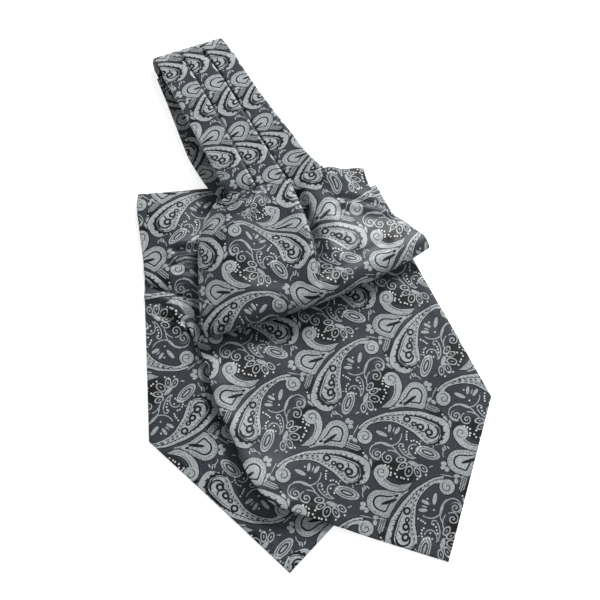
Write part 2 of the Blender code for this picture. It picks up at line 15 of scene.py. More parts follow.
import bpy
import numpy as np
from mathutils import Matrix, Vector


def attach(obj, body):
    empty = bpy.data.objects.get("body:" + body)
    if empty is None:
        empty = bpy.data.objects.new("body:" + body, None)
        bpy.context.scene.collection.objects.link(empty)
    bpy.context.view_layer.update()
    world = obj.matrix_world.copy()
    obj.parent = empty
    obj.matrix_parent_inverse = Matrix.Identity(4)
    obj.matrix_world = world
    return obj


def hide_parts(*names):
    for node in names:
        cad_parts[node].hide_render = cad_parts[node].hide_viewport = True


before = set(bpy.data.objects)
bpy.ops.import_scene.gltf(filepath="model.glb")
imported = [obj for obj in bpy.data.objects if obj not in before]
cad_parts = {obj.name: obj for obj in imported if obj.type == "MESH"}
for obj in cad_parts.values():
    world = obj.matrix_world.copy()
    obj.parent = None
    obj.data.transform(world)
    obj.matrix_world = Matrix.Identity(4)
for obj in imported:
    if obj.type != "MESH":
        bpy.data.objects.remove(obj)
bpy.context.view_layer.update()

logging.basicConfig(level=logging.INFO, format="%(message)s")
LOG = logging.getLogger("cravat")

MM = 0.001
REPEAT_ACROSS = 53.0
HALF_REPEAT = 46.65
CHART = "Cloth"
RIM_SPACES = (0.0, 0.25, 0.7, 1.4)
Array = np.ndarray
Piece = bpy.types.Object
Pair = tuple[float, float]
Triple = tuple[float, float, float]
Run = tuple[float, float, int]


class Lie(Enum):
    """How a sheet of the cravat lies."""

    LAID = "laid"
    FOLDED = "folded"


class Frame(NamedTuple):
    """Flat frame of one stretch: degrees anticlockwise from +X."""

    turn: float


class Crease(NamedTuple):
    """Soft ridge (height above zero) or trough (below zero) between two places of a stretch."""

    across0: float
    along0: float
    across1: float
    along1: float
    width: float
    height: float
    curve: float = 2.0


class Anchor(NamedTuple):
    """Place of the cloth, and the place of the woven repeat that lies on it."""

    across: float
    along: float
    repeat_across: float
    repeat_along: float


class Start(NamedTuple):
    """One point of a stretch's hidden start."""

    across: float
    along: float


class Wave(NamedTuple):
    """Faint wave of relaxed cloth: radians for each millimetre across and along, phase, and share of the height."""

    rate_across: float
    rate_along: float
    phase: float
    share: float


class Side(NamedTuple):
    """Left and right edge of a stretch at one distance along it."""

    along: float
    left: float
    right: float


class FoldRow(NamedTuple):
    """Middle of a folded sheet: distance back from its fold, and height."""

    back: float
    z: float


FRONT = Frame(25.0)
BACK = Frame(3.5)
BAND = Frame(28.5)
WAVES = (
    Wave(0.071, 0.033, 0.4, 1.0),
    Wave(-0.045, 0.094, 1.9, 0.8),
    Wave(0.152, -0.061, 4.4, 0.45),
    Wave(0.028, 0.187, 2.7, 0.4),
    Wave(0.231, 0.142, 5.3, 0.22),
    Wave(-0.19, 0.26, 0.9, 0.18),
)


def clamp(value: Array) -> Array:
    """Keep shares between 0 and 1."""
    return np.clip(value, 0.0, 1.0)


def ease(value: Array) -> Array:
    """Turn shares into ones that start and stop gently."""
    value = clamp(value)
    return value * value * (3.0 - 2.0 * value)


def grow(value: Array, ends: Pair) -> Array:
    """Give a gentle rise from 0 at the first end to 1 at the second.

    Args:
        value: places to read the rise at.
        ends: where it starts and where it is whole.

    Returns:
        The rise at each place.
    """
    return ease((np.asarray(value, float) - ends[0]) / (ends[1] - ends[0]))


def column(rows: Sequence[NamedTuple], name: str) -> Array:
    """List one column of a table."""
    return np.array([getattr(row, name) for row in rows], float)


def read(rows: Sequence[NamedTuple], key: str, name: str, at: Array) -> Array:
    """Read a table's column between its rows, on a smooth curve through them.

    Args:
        rows: the table, in order of its key column.
        key: name of the column that places the rows.
        name: name of the column to read.
        at: places to read it at.

    Returns:
        The column's value at each place.
    """
    spots, values = column(rows, key), column(rows, name)
    count = np.arange(len(spots))
    low, high = np.maximum(count - 1, 0), np.minimum(count + 1, len(spots) - 1)
    slopes = (values[high] - values[low]) / (spots[high] - spots[low])
    at = np.clip(np.asarray(at, float), spots[0], spots[-1])
    first = np.clip(np.searchsorted(spots, at, side="right") - 1, 0, len(spots) - 2)
    span = spots[first + 1] - spots[first]
    share = (at - spots[first]) / span
    limit = 2.0 * np.abs(values[first + 1] - values[first]) / span
    before = np.clip(slopes[first], -limit, limit)
    after = np.clip(slopes[first + 1], -limit, limit)
    square, cube = share ** 2, share ** 3
    return (values[first] * (2 * cube - 3 * square + 1) + values[first + 1] * (3 * square - 2 * cube)
            + span * (before * (cube - 2 * square + share) + after * (cube - square)))


def read_all(rows: Sequence[NamedTuple], key: str, names: Sequence[str], at: Array) -> list[Array]:
    """Read several of a table's columns at the same places."""
    return [read(rows, key, name, at) for name in names]


def place(flat: Frame, across: Array, along: Array, z: Array) -> Array:
    """Turn a stretch's own across and along into points of the part's X, Y and Z.

    Args:
        flat: the stretch's frame.
        across: distances to its right.
        along: distances towards its point.
        z: heights.

    Returns:
        An array of points, in millimetres.
    """
    turn = math.radians(flat.turn)
    x = across * math.cos(turn) + along * math.sin(turn)
    y = across * math.sin(turn) - along * math.cos(turn)
    return np.stack(np.broadcast_arrays(x, y, z), axis=-1).astype(float)


def measure(flat: Frame, x: Array, y: Array) -> tuple[Array, Array]:
    """Turn the part's X and Y into a stretch's own across and along."""
    turn = math.radians(flat.turn)
    return x * math.cos(turn) + y * math.sin(turn), x * math.sin(turn) - y * math.cos(turn)


def crease_height(creases: Sequence[Crease], across: Array, along: Array) -> Array:
    """Add up the creases' heights.

    Args:
        creases: ridges and troughs of the stretch.
        across: distances to the stretch's right.
        along: distances towards its point.

    Returns:
        The height that they add at each place.
    """
    total = np.zeros(np.broadcast(across, along).shape)
    for crease in creases:
        run_a, run_b = crease.across1 - crease.across0, crease.along1 - crease.along0
        length = math.hypot(run_a, run_b)
        a, b = across - crease.across0, along - crease.along0
        share = (a * run_a + b * run_b) / length ** 2
        off = (a * run_b - b * run_a) / length
        past = np.maximum(np.maximum(-share, share - 1.0), 0.0) * length
        total += crease.height * np.exp(-(np.hypot(off, past) / crease.width) ** crease.curve)
    return total


def slack(across: Array, along: Array, height: float) -> Array:
    """Give the faint waves of cloth that was pressed and has relaxed.

    Args:
        across: distances to the stretch's right.
        along: distances towards its point.
        height: height of the largest wave.

    Returns:
        The waves' height at each place.
    """
    total = np.zeros(np.broadcast(across, along).shape)
    for wave in WAVES:
        total += height * wave.share * np.sin(wave.rate_across * across + wave.rate_along * along + wave.phase)
    return total


def cloth_spread(length: float, step: float, near: bool = True, far: bool = True) -> Array:
    """Space out a sheet's rows or columns, closer where its edge is rounded.

    Args:
        length: real length that they cover, in millimetres.
        step: largest space between them.
        near: whether the first one is an edge.
        far: whether the last one is an edge.

    Returns:
        Their shares of the length, from 0 to 1.
    """
    rim = np.array(RIM_SPACES)
    start = rim if near else np.array([0.0])
    stop = length - rim[::-1] if far else np.array([length])
    count = max(int(math.ceil((stop[0] - start[-1]) / step)), 1)
    middle = np.linspace(start[-1], stop[0], count + 1)[1:-1]
    return np.concatenate([start, middle, stop]) / length


def add_grid(name: str, points: Array) -> Piece:
    """Make a grid and put its points in place.

    Args:
        name: name of the piece.
        points: rows by columns of its points, in millimetres, with rows going down.

    Returns:
        The piece.
    """
    rows, columns = points.shape[:2]
    bpy.ops.object.select_all(action="DESELECT")
    bpy.ops.mesh.primitive_grid_add(x_subdivisions=columns - 1, y_subdivisions=rows - 1, size=1.0)
    piece = bpy.context.object
    piece.name = piece.data.name = name
    piece.data.vertices.foreach_set("co", (points[::-1] * MM).astype(np.float32).ravel())
    return piece


def list_corners(mesh: bpy.types.Mesh) -> Array:
    """List the vertex that each corner of a mesh's faces is at.

    Args:
        mesh: the mesh.

    Returns:
        One vertex for each corner.
    """
    corners = np.zeros(len(mesh.loops), np.int32)
    mesh.loops.foreach_get("vertex_index", corners)
    return corners


def lay_chart(mesh: bpy.types.Mesh, chart: Array) -> None:
    """Map the woven repeat on to a mesh.

    Args:
        mesh: the mesh.
        chart: place of the repeat at each corner of a face, in millimetres.
    """
    layer = mesh.uv_layers.active or mesh.uv_layers.new(name=CHART)
    layer.name = CHART
    layer.uv.foreach_set("vector", (chart * MM).astype(np.float32).ravel())
    mesh.update()


@dataclass
class ClothMap:
    """Where the woven repeat lies on a stretch.

    Attributes:
        origin: one place of the cloth and the place of the repeat that lies on it.
        turn: degrees by which the repeat's across direction is turned towards the stretch's along.
        squeeze_across: millimetres of repeat for each millimetre across.
        squeeze_along: millimetres of repeat for each millimetre along.
        tighten: by how much that grows for each millimetre along, doubled.
        anchors: further places where the cloth has been pushed together or pulled.
        reach: distance over which such a place counts.
        hold: weight of the unmoved cloth against those places.
    """

    origin: Anchor
    turn: float = 0.0
    squeeze_across: float = 1.0
    squeeze_along: float = 1.0
    tighten: float = 0.0
    anchors: Sequence[Anchor] = ()
    reach: float = 14.0
    hold: float = 0.35

    def plain(self, across: Array, along: Array) -> Array:
        """Map places of the stretch to the repeat, with no pushing or pulling.

        Args:
            across: distances to the stretch's right.
            along: distances towards its point.

        Returns:
            An array of places of the repeat, in millimetres.
        """
        turn = math.radians(self.turn)
        a, b = across - self.origin.across, along - self.origin.along
        u = (a * math.cos(turn) + b * math.sin(turn)) * self.squeeze_across + self.origin.repeat_across
        v = b * math.cos(turn) - a * math.sin(turn)
        return np.stack([u, v * (self.squeeze_along + self.tighten * v) + self.origin.repeat_along], axis=-1)

    def read(self, across: Array, along: Array) -> Array:
        """Map places of the stretch to the repeat.

        Args:
            across: distances to the stretch's right.
            along: distances towards its point.

        Returns:
            An array of places of the repeat, in millimetres.
        """
        chart = self.plain(across, along)
        if not self.anchors:
            return chart
        weight_sum = np.full(chart.shape[:-1], self.hold)
        shift = np.zeros_like(chart)
        for anchor in self.anchors:
            miss = np.array([anchor.repeat_across, anchor.repeat_along]) - self.plain(
                np.array(anchor.across), np.array(anchor.along))
            apart = np.hypot(across - anchor.across, along - anchor.along)
            weight = np.exp(-(apart / self.reach) ** 2)
            shift += weight[..., None] * miss
            weight_sum += weight
        return chart + shift / weight_sum[..., None]


@dataclass
class ClothSheet:
    """Thin sheet of cloth worked out on a grid.

    Attributes:
        name: name of the piece.
        points: rows by columns of the sheet's middle, in millimetres, seen from its outer side with rows going down.
        charts: one map of the repeat for each section of the sheet.
        thickness: thickness of the sheet, in millimetres.
        open_sides: which of top, bottom, left and right are edges with a rounded rim.
        sections: which of those maps each space between columns uses.
        rim_shares: shares of the full thickness at a rim and at the two lines next to it.
    """

    name: str
    points: Array
    charts: Sequence[Array]
    thickness: float
    open_sides: Sequence[str]
    sections: Optional[Array] = None
    rim_shares: Sequence[float] = (0.3, 0.62, 0.88)

    def rim_weights(self) -> Array:
        """Give each point's share of the full thickness, less towards a rounded rim.

        Returns:
            Rows by columns of shares.
        """
        weights = np.ones(self.points.shape[:2])
        for depth, share in enumerate(self.rim_shares):
            lines = {"top": np.s_[depth, :], "bottom": np.s_[-1 - depth, :],
                     "left": np.s_[:, depth], "right": np.s_[:, -1 - depth]}
            for side in self.open_sides:
                weights[lines[side]] = np.minimum(weights[lines[side]], share)
        return weights

    def build(self) -> Piece:
        """Make the sheet from a grid, map the repeat on to it and give it its thickness.

        Returns:
            The finished piece.
        """
        columns = self.points.shape[1]
        piece = add_grid(self.name, self.points)
        corners = list_corners(piece.data)
        spaces = (corners.reshape(-1, 4) % columns).min(axis=1)
        sections = np.zeros(columns - 1, int) if self.sections is None else self.sections
        charts = np.stack([chart[::-1].reshape(-1, 2) for chart in self.charts])
        lay_chart(piece.data, charts[np.repeat(sections[spaces], 4), corners])
        group = piece.vertex_groups.new(name="Thickness")
        weights = self.rim_weights()[::-1].ravel()
        for weight in np.unique(weights):
            group.add([int(i) for i in np.flatnonzero(weights == weight)], float(weight), "REPLACE")
        shell = piece.modifiers.new("Shell", "SOLIDIFY")
        shell.thickness = self.thickness * MM
        shell.offset = 0.0
        shell.vertex_group = "Thickness"
        shell.thickness_vertex_group = 0.0
        bpy.ops.object.modifier_apply(modifier="Shell")
        bpy.ops.object.shade_smooth()
        return piece


@dataclass
class Stretch:
    """Stretch of the cravat: what each of them knows how to do with a finished sheet.

    Attributes:
        flat: its frame.
        lie: how its sheets lie.
        cut: flat width and length of its sheet, in millimetres.
        cut_area: flat area, where it isn't a rectangle.
        rests_on: pieces that it lies on.
        thickness: thickness of its sheets, in millimetres.
        clearance: least space between a sheet and the surface.
    """

    flat: Frame
    lie: Lie
    cut: Pair
    cut_area: Optional[float] = None
    rests_on: Sequence[str] = ()
    thickness: float = 1.2
    clearance: float = 0.03

    @property
    def lowest(self) -> float:
        """Give the height of the sheet's middle where it touches the surface."""
        return 0.5 * self.thickness + self.clearance

    def hand_over(self, piece: Piece, node: str, silk: "SilkFinish",
                  cut: Optional[Pair] = None,
                  rests_on: Optional[Sequence[str]] = None) -> Piece:
        """Dress a sheet and put it in its node's place.

        Args:
            piece: the finished sheet.
            node: name of the solid that it stands for.
            silk: finish that it takes.
            cut: its own flat size, where the class makes several sheets; not used.
            rests_on: what it lies on, where the class makes several sheets; not used.

        Returns:
            The same sheet.
        """
        piece.data.materials.clear()
        piece.data.materials.append(silk.material())
        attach(piece, "root")
        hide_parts(node)
        LOG.info("%s: %d faces", piece.name, len(piece.data.polygons))
        return piece

    def lay(self, node: str, points: Array, charts: Sequence[Array], silk: "SilkFinish", open_sides: Sequence[str],
            sections: Optional[Array] = None, cut: Optional[Pair] = None,
            rests_on: Optional[Sequence[str]] = None) -> Piece:
        """Make the sheet that stands for a node and hand it over.

        Args:
            node: name of the solid.
            points: the sheet's middle.
            charts: maps of the repeat, one for each section.
            silk: its finish.
            open_sides: edges with a rounded rim.
            sections: which map each space between columns uses.
            cut: its own flat size, where the class makes several sheets.
            rests_on: what it lies on, where the class makes several sheets.

        Returns:
            The finished piece.
        """
        sheet = ClothSheet(node + "_silk", points, charts, self.thickness, open_sides, sections)
        return self.hand_over(sheet.build(), node, silk, cut, rests_on)

    def lay_end(self, node: str, across: Array, along: Array, z: Array, repeat: ClothMap, silk: "SilkFinish",
                cut: Optional[Pair] = None,
                rests_on: Optional[Sequence[str]] = None) -> Piece:
        """Make a plain sheet with one map, whose start is hidden and whose other three edges show.

        Args:
            node: name of the solid.
            across: across of each place.
            along: along of each place.
            z: its height.
            repeat: where the woven repeat lies on it.
            silk: its finish.
            cut: its own flat size, where the class makes several sheets.
            rests_on: what it lies on, where the class makes several sheets.

        Returns:
            The finished piece.
        """
        return self.lay(node, place(self.flat, across, along, z), [repeat.read(across, along)], silk,
                        ("bottom", "left", "right"), None, cut, rests_on)


@dataclass
class PointedEnd(Stretch):
    """Pointed end of a blade: what the two blades have in common.

    Attributes:
        point: across and along of its point.
        slope_left: slope of its edge to the left of the point.
        slope_right: slope of its edge to the right.
        level: height of its middle on the surface.
        hem_width: width of its hem.
        hem_height: how far the doubled hem stands up.
        hem_soften: where the hem's ridge starts and ends, from its width.
        wave: height of its largest slack wave.
        wave_rim: distances from the edge at which the waves start and are whole.
        loft: height that is added all over.
        spacing: largest spaces between its columns and rows.
        row_length: length that its rows cover.
        start: its hidden start.
        creases: its creases.
    """

    point: Pair = (0.0, 0.0)
    slope_left: float = 1.0
    slope_right: float = 1.0
    level: float = 0.8
    hem_width: float = 7.0
    hem_height: float = 0.2
    hem_soften: Pair = (-1.2, 0.8)
    wave: float = 0.2
    wave_rim: Pair = (0.0, 12.0)
    loft: float = 0.1
    spacing: Pair = (1.5, 1.5)
    row_length: float = 175.0
    start: Sequence[Start] = ()
    creases: Sequence[Crease] = ()

    def slope(self, across: Array) -> Array:
        """Give the slope of the pointed end's edge."""
        return np.where(across < self.point[0], self.slope_left, self.slope_right)

    def edge(self, across: Array) -> Array:
        """Give the along of the pointed end's edge."""
        return self.point[1] - self.slope(across) * np.abs(across - self.point[0])

    def spread(self, first: float, last: float) -> tuple[Array, Array, Array]:
        """Space out the sheet, with one column at its point.

        Args:
            first: across of its left side.
            last: across of its right side.

        Returns:
            Across of each column where the sides are straight, along of each place and along of the edge.
        """
        middle, (step_across, step_along) = self.point[0], self.spacing
        before = first + (middle - first) * cloth_spread(middle - first, step_across, far=False)
        after = middle + (last - middle) * cloth_spread(last - middle, step_across, near=False)
        nominal = np.concatenate([before, after[1:]])[None, :]
        shares = cloth_spread(self.row_length, step_along)[:, None]
        begin, finish = read(self.start, "across", "along", nominal), self.edge(nominal)
        return nominal, begin + (finish - begin) * shares, finish

    def from_edge(self, tips: tuple[Array, Array], across: Array, along: Array, sides: tuple[Array, Array]) -> Array:
        """Give how far places lie from the blade's point and sides.

        Args:
            tips: across and along of the pointed edge at each column.
            across: distances to the blade's right.
            along: distances towards its point.
            sides: across of its left and right side at each place.

        Returns:
            The distance to whichever edge is nearest.
        """
        beyond = (tips[1] - along) / np.hypot(1.0, self.slope(tips[0]))
        return np.minimum(beyond, np.minimum(across - sides[0], sides[1] - across))

    def hem(self, z: Array, across: Array, along: Array, rim: Array) -> Array:
        """Add the hem's ridge and the slack waves to the blade's height.

        Args:
            z: heights without them.
            across: distances to its right.
            along: distances towards its point.
            rim: distances from its edge.

        Returns:
            The heights, nowhere under the surface.
        """
        ridge = [self.hem_width + soften for soften in self.hem_soften]
        z = z + self.hem_height * (1.0 - grow(rim, ridge))
        return np.maximum(z + slack(across, along, self.wave) * grow(rim, self.wave_rim) + self.loft, self.lowest)


@dataclass
class BackBlade(PointedEnd):
    """Back blade: its pointed end lies flat, and its upper stretch is turned over at a fold."""

    flat: Frame = BACK
    lie: Lie = Lie.LAID
    cut: Pair = (152.6, 187.0)
    cut_area: Optional[float] = 19740.0
    rests_on: Sequence[str] = ("floor",)
    point: Pair = (-23.3, 175.17)
    slope_left: float = 1.005
    slope_right: float = 0.88
    left: float = -101.6
    left_taper: float = 0.0275
    right: float = 51.0
    hem_height: float = 0.22
    wave: float = 0.22
    spacing: Pair = (1.7, 1.8)
    start: Sequence[Start] = (
        Start(-101.6, -12.0),
        Start(-97.0, -8.0),
        Start(-84.0, -2.0),
        Start(-68.0, 5.0),
        Start(-58.0, 32.0),
        Start(51.0, -9.0),
    )
    creases: Sequence[Crease] = (
        Crease(-101.5, 5.5, -90.0, 8.0, 2.6, 3.2),
        Crease(-86.0, 9.0, -80.0, 20.0, 3.0, 2.4),
        Crease(-98.0, 14.0, -84.0, 17.0, 2.4, 0.9),
        Crease(-74.0, 14.0, -66.0, 26.0, 2.2, 1.8),
        Crease(-94.0, 18.0, -66.0, 31.0, 6.0, 1.7),
        Crease(-92.0, 19.0, -78.0, 24.0, 1.8, -1.8),
        Crease(-84.0, 16.0, -74.0, 34.0, 2.0, 1.6),
        Crease(-76.0, 24.0, -64.0, 40.0, 2.2, -1.5),
        Crease(-70.0, 30.0, -60.0, 44.0, 2.6, 1.4),
        Crease(-70.0, 60.0, -60.0, 92.0, 6.0, 0.4),
    )

    def reach(self, x: Array, y: Array) -> Array:
        """Give how far places lie inside the blade's right side and point.

        Args:
            x: their X.
            y: their Y.

        Returns:
            The distances, below zero outside.
        """
        across, along = measure(self.flat, x, y)
        over_left = self.point[1] + self.slope_left * (across - self.point[0]) - along
        over_right = self.point[1] - self.slope_right * (across - self.point[0]) - along
        inside = np.minimum(over_left / math.hypot(1.0, self.slope_left),
                            over_right / math.hypot(1.0, self.slope_right))
        return np.minimum(self.right - across, inside)

    def end(self, repeat: ClothMap, silk: "SilkFinish") -> Piece:
        """Lay the pointed end flat on the surface.

        Args:
            repeat: where the woven repeat lies on it.
            silk: its finish.

        Returns:
            The finished piece.
        """
        nominal, along, finish = self.spread(self.left, self.right)
        left = self.left + self.left_taper * np.maximum(along, 0.0)
        across = left + (self.right - left) * (nominal - self.left) / (self.right - self.left)
        rim = self.from_edge((nominal, finish), across, along, (left, self.right))
        z = self.level + np.maximum(crease_height(self.creases, across, along), 0.0)
        return self.lay_end("back_blade_end", across, along, self.hem(z, across, along, rim), repeat, silk)


class TurnRow(NamedTuple):
    """Outline and heights of the back blade's turned stretch at one share of its length."""

    share: float
    left: float
    right: float
    left_z: float
    middle_z: float
    right_z: float


@dataclass
class BackBladeTurn(Stretch):
    """Upper stretch of the back blade, turned over at its top fold, in the part's own X and Y."""

    flat: Frame = Frame(0.0)
    lie: Lie = Lie.FOLDED
    cut: Pair = (55.0, 92.0)
    cut_area: Optional[float] = 4370.0
    rests_on: Sequence[str] = ("floor",)
    top_left: Pair = (-109.52, 58.9)
    top_slope: float = 0.0915
    size: Pair = (50.0, 70.0)
    spacing: Pair = (1.2, 1.3)
    left_side: Pair = (0.0, 0.35)
    right_side: Pair = (0.45, 1.0)
    fade_in: Pair = (0.0, 0.1)
    fade_out: Pair = (0.92, 1.0)
    wave: float = 0.3
    rows: Sequence[TurnRow] = (
        TurnRow(0.00, -109.52, -55.0, 3.6, 3.6, 3.3),
        TurnRow(0.15, -109.42, -55.0, 4.4, 5.0, 3.3),
        TurnRow(0.32, -108.3, -60.5, 4.8, 6.6, 3.3),
        TurnRow(0.55, -106.0, -60.5, 4.6, 6.2, 3.0),
        TurnRow(0.80, -103.6, -60.5, 4.4, 5.0, 2.4),
        TurnRow(0.93, -102.5, -60.5, 3.6, 3.6, 3.2),
        TurnRow(1.00, -102.3, -60.5, 2.7, 2.6, 2.5),
    )
    under: Sequence[FoldRow] = (
        FoldRow(14.0, 0.8),
        FoldRow(5.0, 0.8),
        FoldRow(1.4, 0.85),
        FoldRow(0.45, 1.3),
        FoldRow(0.05, 2.1),
        FoldRow(0.15, 2.9),
        FoldRow(0.6, 3.4),
    )
    foot: Sequence[Start] = (
        Start(-103.0, -4.6),
        Start(-98.0, 3.6),
        Start(-84.0, 8.2),
        Start(-68.0, 13.4),
        Start(-60.0, 16.4),
    )
    creases: Sequence[Crease] = (
        Crease(-66.0, -48.0, -86.0, -16.0, 3.2, 2.0, 1.6),
        Crease(-69.0, -44.0, -88.0, -13.0, 3.0, -1.4),
        Crease(-64.0, -26.0, -84.0, -22.0, 2.2, 2.0, 1.6),
        Crease(-62.0, -21.0, -82.0, -17.5, 2.0, -1.5),
        Crease(-62.0, -17.0, -84.0, -12.0, 2.2, 2.2, 1.6),
        Crease(-62.0, -12.5, -84.0, -8.5, 1.8, -1.5),
        Crease(-62.0, -8.0, -86.0, -5.0, 1.8, 1.4),
        Crease(-62.0, 0.0, -88.0, -1.0, 2.6, 1.8),
        Crease(-100.0, 3.0, -72.0, 4.0, 2.4, 1.0),
        Crease(-106.0, -30.0, -92.0, -36.0, 5.0, 0.5),
    )

    def top(self, x: Array) -> Array:
        """Give the along of the top fold, which is minus its Y."""
        return -(self.top_left[1] + self.top_slope * (x - self.top_left[0]))

    def turn(self, repeat: ClothMap, silk: "SilkFinish") -> Piece:
        """Turn the stretch over at its top fold and lay it down.

        Args:
            repeat: where the woven repeat lies on it, in the back blade's frame.
            silk: its finish.

        Returns:
            The finished piece.
        """
        part = cloth_spread(self.size[0], self.spacing[0])[None, :]
        first = self.rows[0]
        x_top = first.left + (first.right - first.left) * part
        lines, laid = [], []
        for row in self.under:
            along = self.top(x_top) + row.back
            lines.append(place(self.flat, x_top, along, np.full_like(x_top, row.z)))
            laid.append((x_top, self.top(x_top) - row.back))
        for share in cloth_spread(self.size[1], self.spacing[1], near=False)[1:]:
            left, right, left_z, middle_z, right_z = read_all(
                self.rows, "share", ("left", "right", "left_z", "middle_z", "right_z"), share)
            x = left + (right - left) * part
            begin, finish = self.top(x), read(self.foot, "across", "along", x)
            along = begin + (finish - begin) * share
            z = left_z + (middle_z - left_z) * grow(part, self.left_side)
            z = z + (right_z - middle_z) * grow(part, self.right_side)
            fade = grow(share, self.fade_in) * (1.0 - grow(share, self.fade_out))
            z = z + (crease_height(self.creases, x, along) + slack(x, along, self.wave)) * fade
            lines.append(place(self.flat, x, along, z))
            laid.append((x, along))
        across, along = measure(BACK, np.concatenate([x for x, _ in laid]), -np.concatenate([y for _, y in laid]))
        return self.lay("back_blade_turn", np.concatenate(lines), [repeat.read(across, along)], silk,
                        ("top", "left", "right", "bottom"))


@dataclass
class FrontBlade(PointedEnd):
    """Front blade's pointed end, laid across the back blade."""

    flat: Frame = FRONT
    lie: Lie = Lie.LAID
    cut: Pair = (150.5, 194.0)
    cut_area: Optional[float] = 22020.0
    rests_on: Sequence[str] = ("back_blade_end_silk", "floor")
    second: float = 2.7
    hem_width: float = 7.5
    hem_height: float = 0.26
    wave: float = 0.3
    wave_rim: Pair = (0.0, 14.0)
    spacing: Pair = (1.5, 1.6)
    row_length: float = 178.0
    point: Pair = (-3.5, 187.5)
    slope_left: float = 0.87
    slope_right: float = 1.03
    lift: float = 6.5
    lift_from: float = -15.0
    lift_start: Pair = (6.0, 46.0)
    lift_curve: float = 1.6
    lift_loss: float = 0.45
    lift_end: Pair = (105.0, 165.0)
    heap_rise: float = 1.5
    heap_end: Pair = (24.0, 60.0)
    corner_curl: float = 3.0
    corner_across: Pair = (-52.0, -82.0)
    corner_along: Pair = (78.0, 112.0)
    ramp: float = 10.0
    ramp_clear: float = 6.5
    sides: Sequence[Side] = (
        Side(-6.0, -80.0, 66.5),
        Side(12.0, -79.0, 66.5),
        Side(28.0, -79.0, 66.8),
        Side(42.0, -82.0, 67.0),
        Side(56.0, -83.0, 67.2),
        Side(76.0, -82.4, 67.4),
        Side(92.0, -83.4, 67.5),
        Side(106.0, -81.8, 67.6),
        Side(118.0, -77.5, 67.6),
    )
    start: Sequence[Start] = (
        Start(-83.0, -6.5),
        Start(-73.0, -5.0),
        Start(-62.0, 2.0),
        Start(-40.0, 6.0),
        Start(0.0, 8.3),
        Start(67.5, 8.0),
    )
    creases: Sequence[Crease] = (
        Crease(-45.0, 13.0, -34.0, 29.0, 2.6, -1.3),
        Crease(-58.0, 16.0, -50.0, 30.0, 4.5, 1.6),
        Crease(-80.0, 2.0, -68.0, 14.0, 3.4, 2.3, 1.6),
        Crease(-74.0, -3.0, -62.0, 10.0, 1.8, -0.8),
        Crease(-83.0, 20.0, -70.0, 24.0, 3.0, -1.0),
        Crease(-20.0, 26.0, 40.0, 30.0, 8.0, 0.8),
        Crease(-84.0, 44.0, -74.0, 50.0, 4.0, -0.5),
        Crease(-80.0, 70.0, -66.0, 80.0, 6.0, 0.4),
    )

    def height(self, back: BackBlade, across: Array, along: Array) -> Array:
        """Give the height of the blade's middle where it lies on the back blade or the surface.

        Args:
            back: the blade below.
            across: distances to its right.
            along: distances towards its point.

        Returns:
            The heights.
        """
        spot = place(self.flat, across, along, 0.0)
        over = ease((back.reach(spot[..., 0], spot[..., 1]) + self.ramp + self.ramp_clear) / self.ramp)
        z = self.level + (self.second - self.level) * over
        side = clamp((self.lift_from - across) / (self.lift_from - self.sides[0].left)) ** self.lift_curve
        kept = 1.0 - self.lift_loss * grow(along, self.lift_end)
        z = z + self.lift * side * grow(along, self.lift_start) * kept
        z = z + self.heap_rise * over * (1.0 - grow(along, self.heap_end))
        z = z + self.corner_curl * grow(across, self.corner_across) * grow(along, self.corner_along)
        return z + crease_height(self.creases, across, along) * over

    def end(self, back: BackBlade, repeat: ClothMap, silk: "SilkFinish") -> Piece:
        """Lay the pointed end across the back blade.

        Args:
            back: the blade below.
            repeat: where the woven repeat lies on it.
            silk: its finish.

        Returns:
            The finished piece.
        """
        first, last = self.start[0].across, self.start[-1].across
        nominal, along, finish = self.spread(first, last)
        left, right = read_all(self.sides, "along", ("left", "right"), along)
        across = left + (right - left) * (nominal - first) / (last - first)
        rim = self.from_edge((nominal, finish), across, along, (left, right))
        z = self.hem(self.height(back, across, along), across, along, rim)
        return self.lay_end("front_blade_end", across, along, z, repeat, silk)


@dataclass
class FrontBladeTurn(Stretch):
    """Front blade's upper end, folded over itself beside the heap."""

    flat: Frame = FRONT
    lie: Lie = Lie.FOLDED
    cut: Pair = (11.2, 65.0)
    rests_on: Sequence[str] = ("floor",)
    outer: float = 68.6
    inner: float = 58.0
    top: float = -41.0
    folded_rows: int = 4
    spacing: float = 1.4
    thickness: float = 1.1
    rows: Sequence[FoldRow] = (
        FoldRow(16.0, 0.8),
        FoldRow(5.0, 0.8),
        FoldRow(1.3, 0.9),
        FoldRow(0.4, 1.24),
        FoldRow(0.0, 2.05),
        FoldRow(0.34, 2.86),
        FoldRow(1.15, 3.2),
        FoldRow(3.0, 3.5),
        FoldRow(6.0, 3.7),
        FoldRow(10.0, 3.9),
        FoldRow(14.0, 3.9),
        FoldRow(19.0, 3.8),
        FoldRow(24.0, 3.6),
        FoldRow(34.0, 3.2),
        FoldRow(47.6, 2.7),
    )

    def turn(self, repeat: ClothMap, silk: "SilkFinish") -> Piece:
        """Fold the end over.

        Args:
            repeat: where the woven repeat lies on it.
            silk: its finish.

        Returns:
            The finished piece.
        """
        part = cloth_spread(self.outer - self.inner, self.spacing)[None, :]
        across = self.inner + (self.outer - self.inner) * part
        back, z = column(self.rows, "back")[:, None], column(self.rows, "z")[:, None]
        folded = np.arange(len(self.rows))[:, None] < self.folded_rows
        across, back, z, folded = np.broadcast_arrays(across, back, z, folded)
        laid = self.top + np.where(folded, -back, back)
        return self.lay("front_blade_turn", place(self.flat, across, self.top + back, z),
                        [repeat.read(across, laid)], silk, ("top", "left", "right"))


class PuffRow(NamedTuple):
    """Outline and heights of the puff at one share of its length."""

    share: float
    left: float
    trough: float
    right: float
    left_z: float
    crown_z: float
    trough_z: float
    panel_z: float
    right_z: float
    ridge: float
    overhang: float


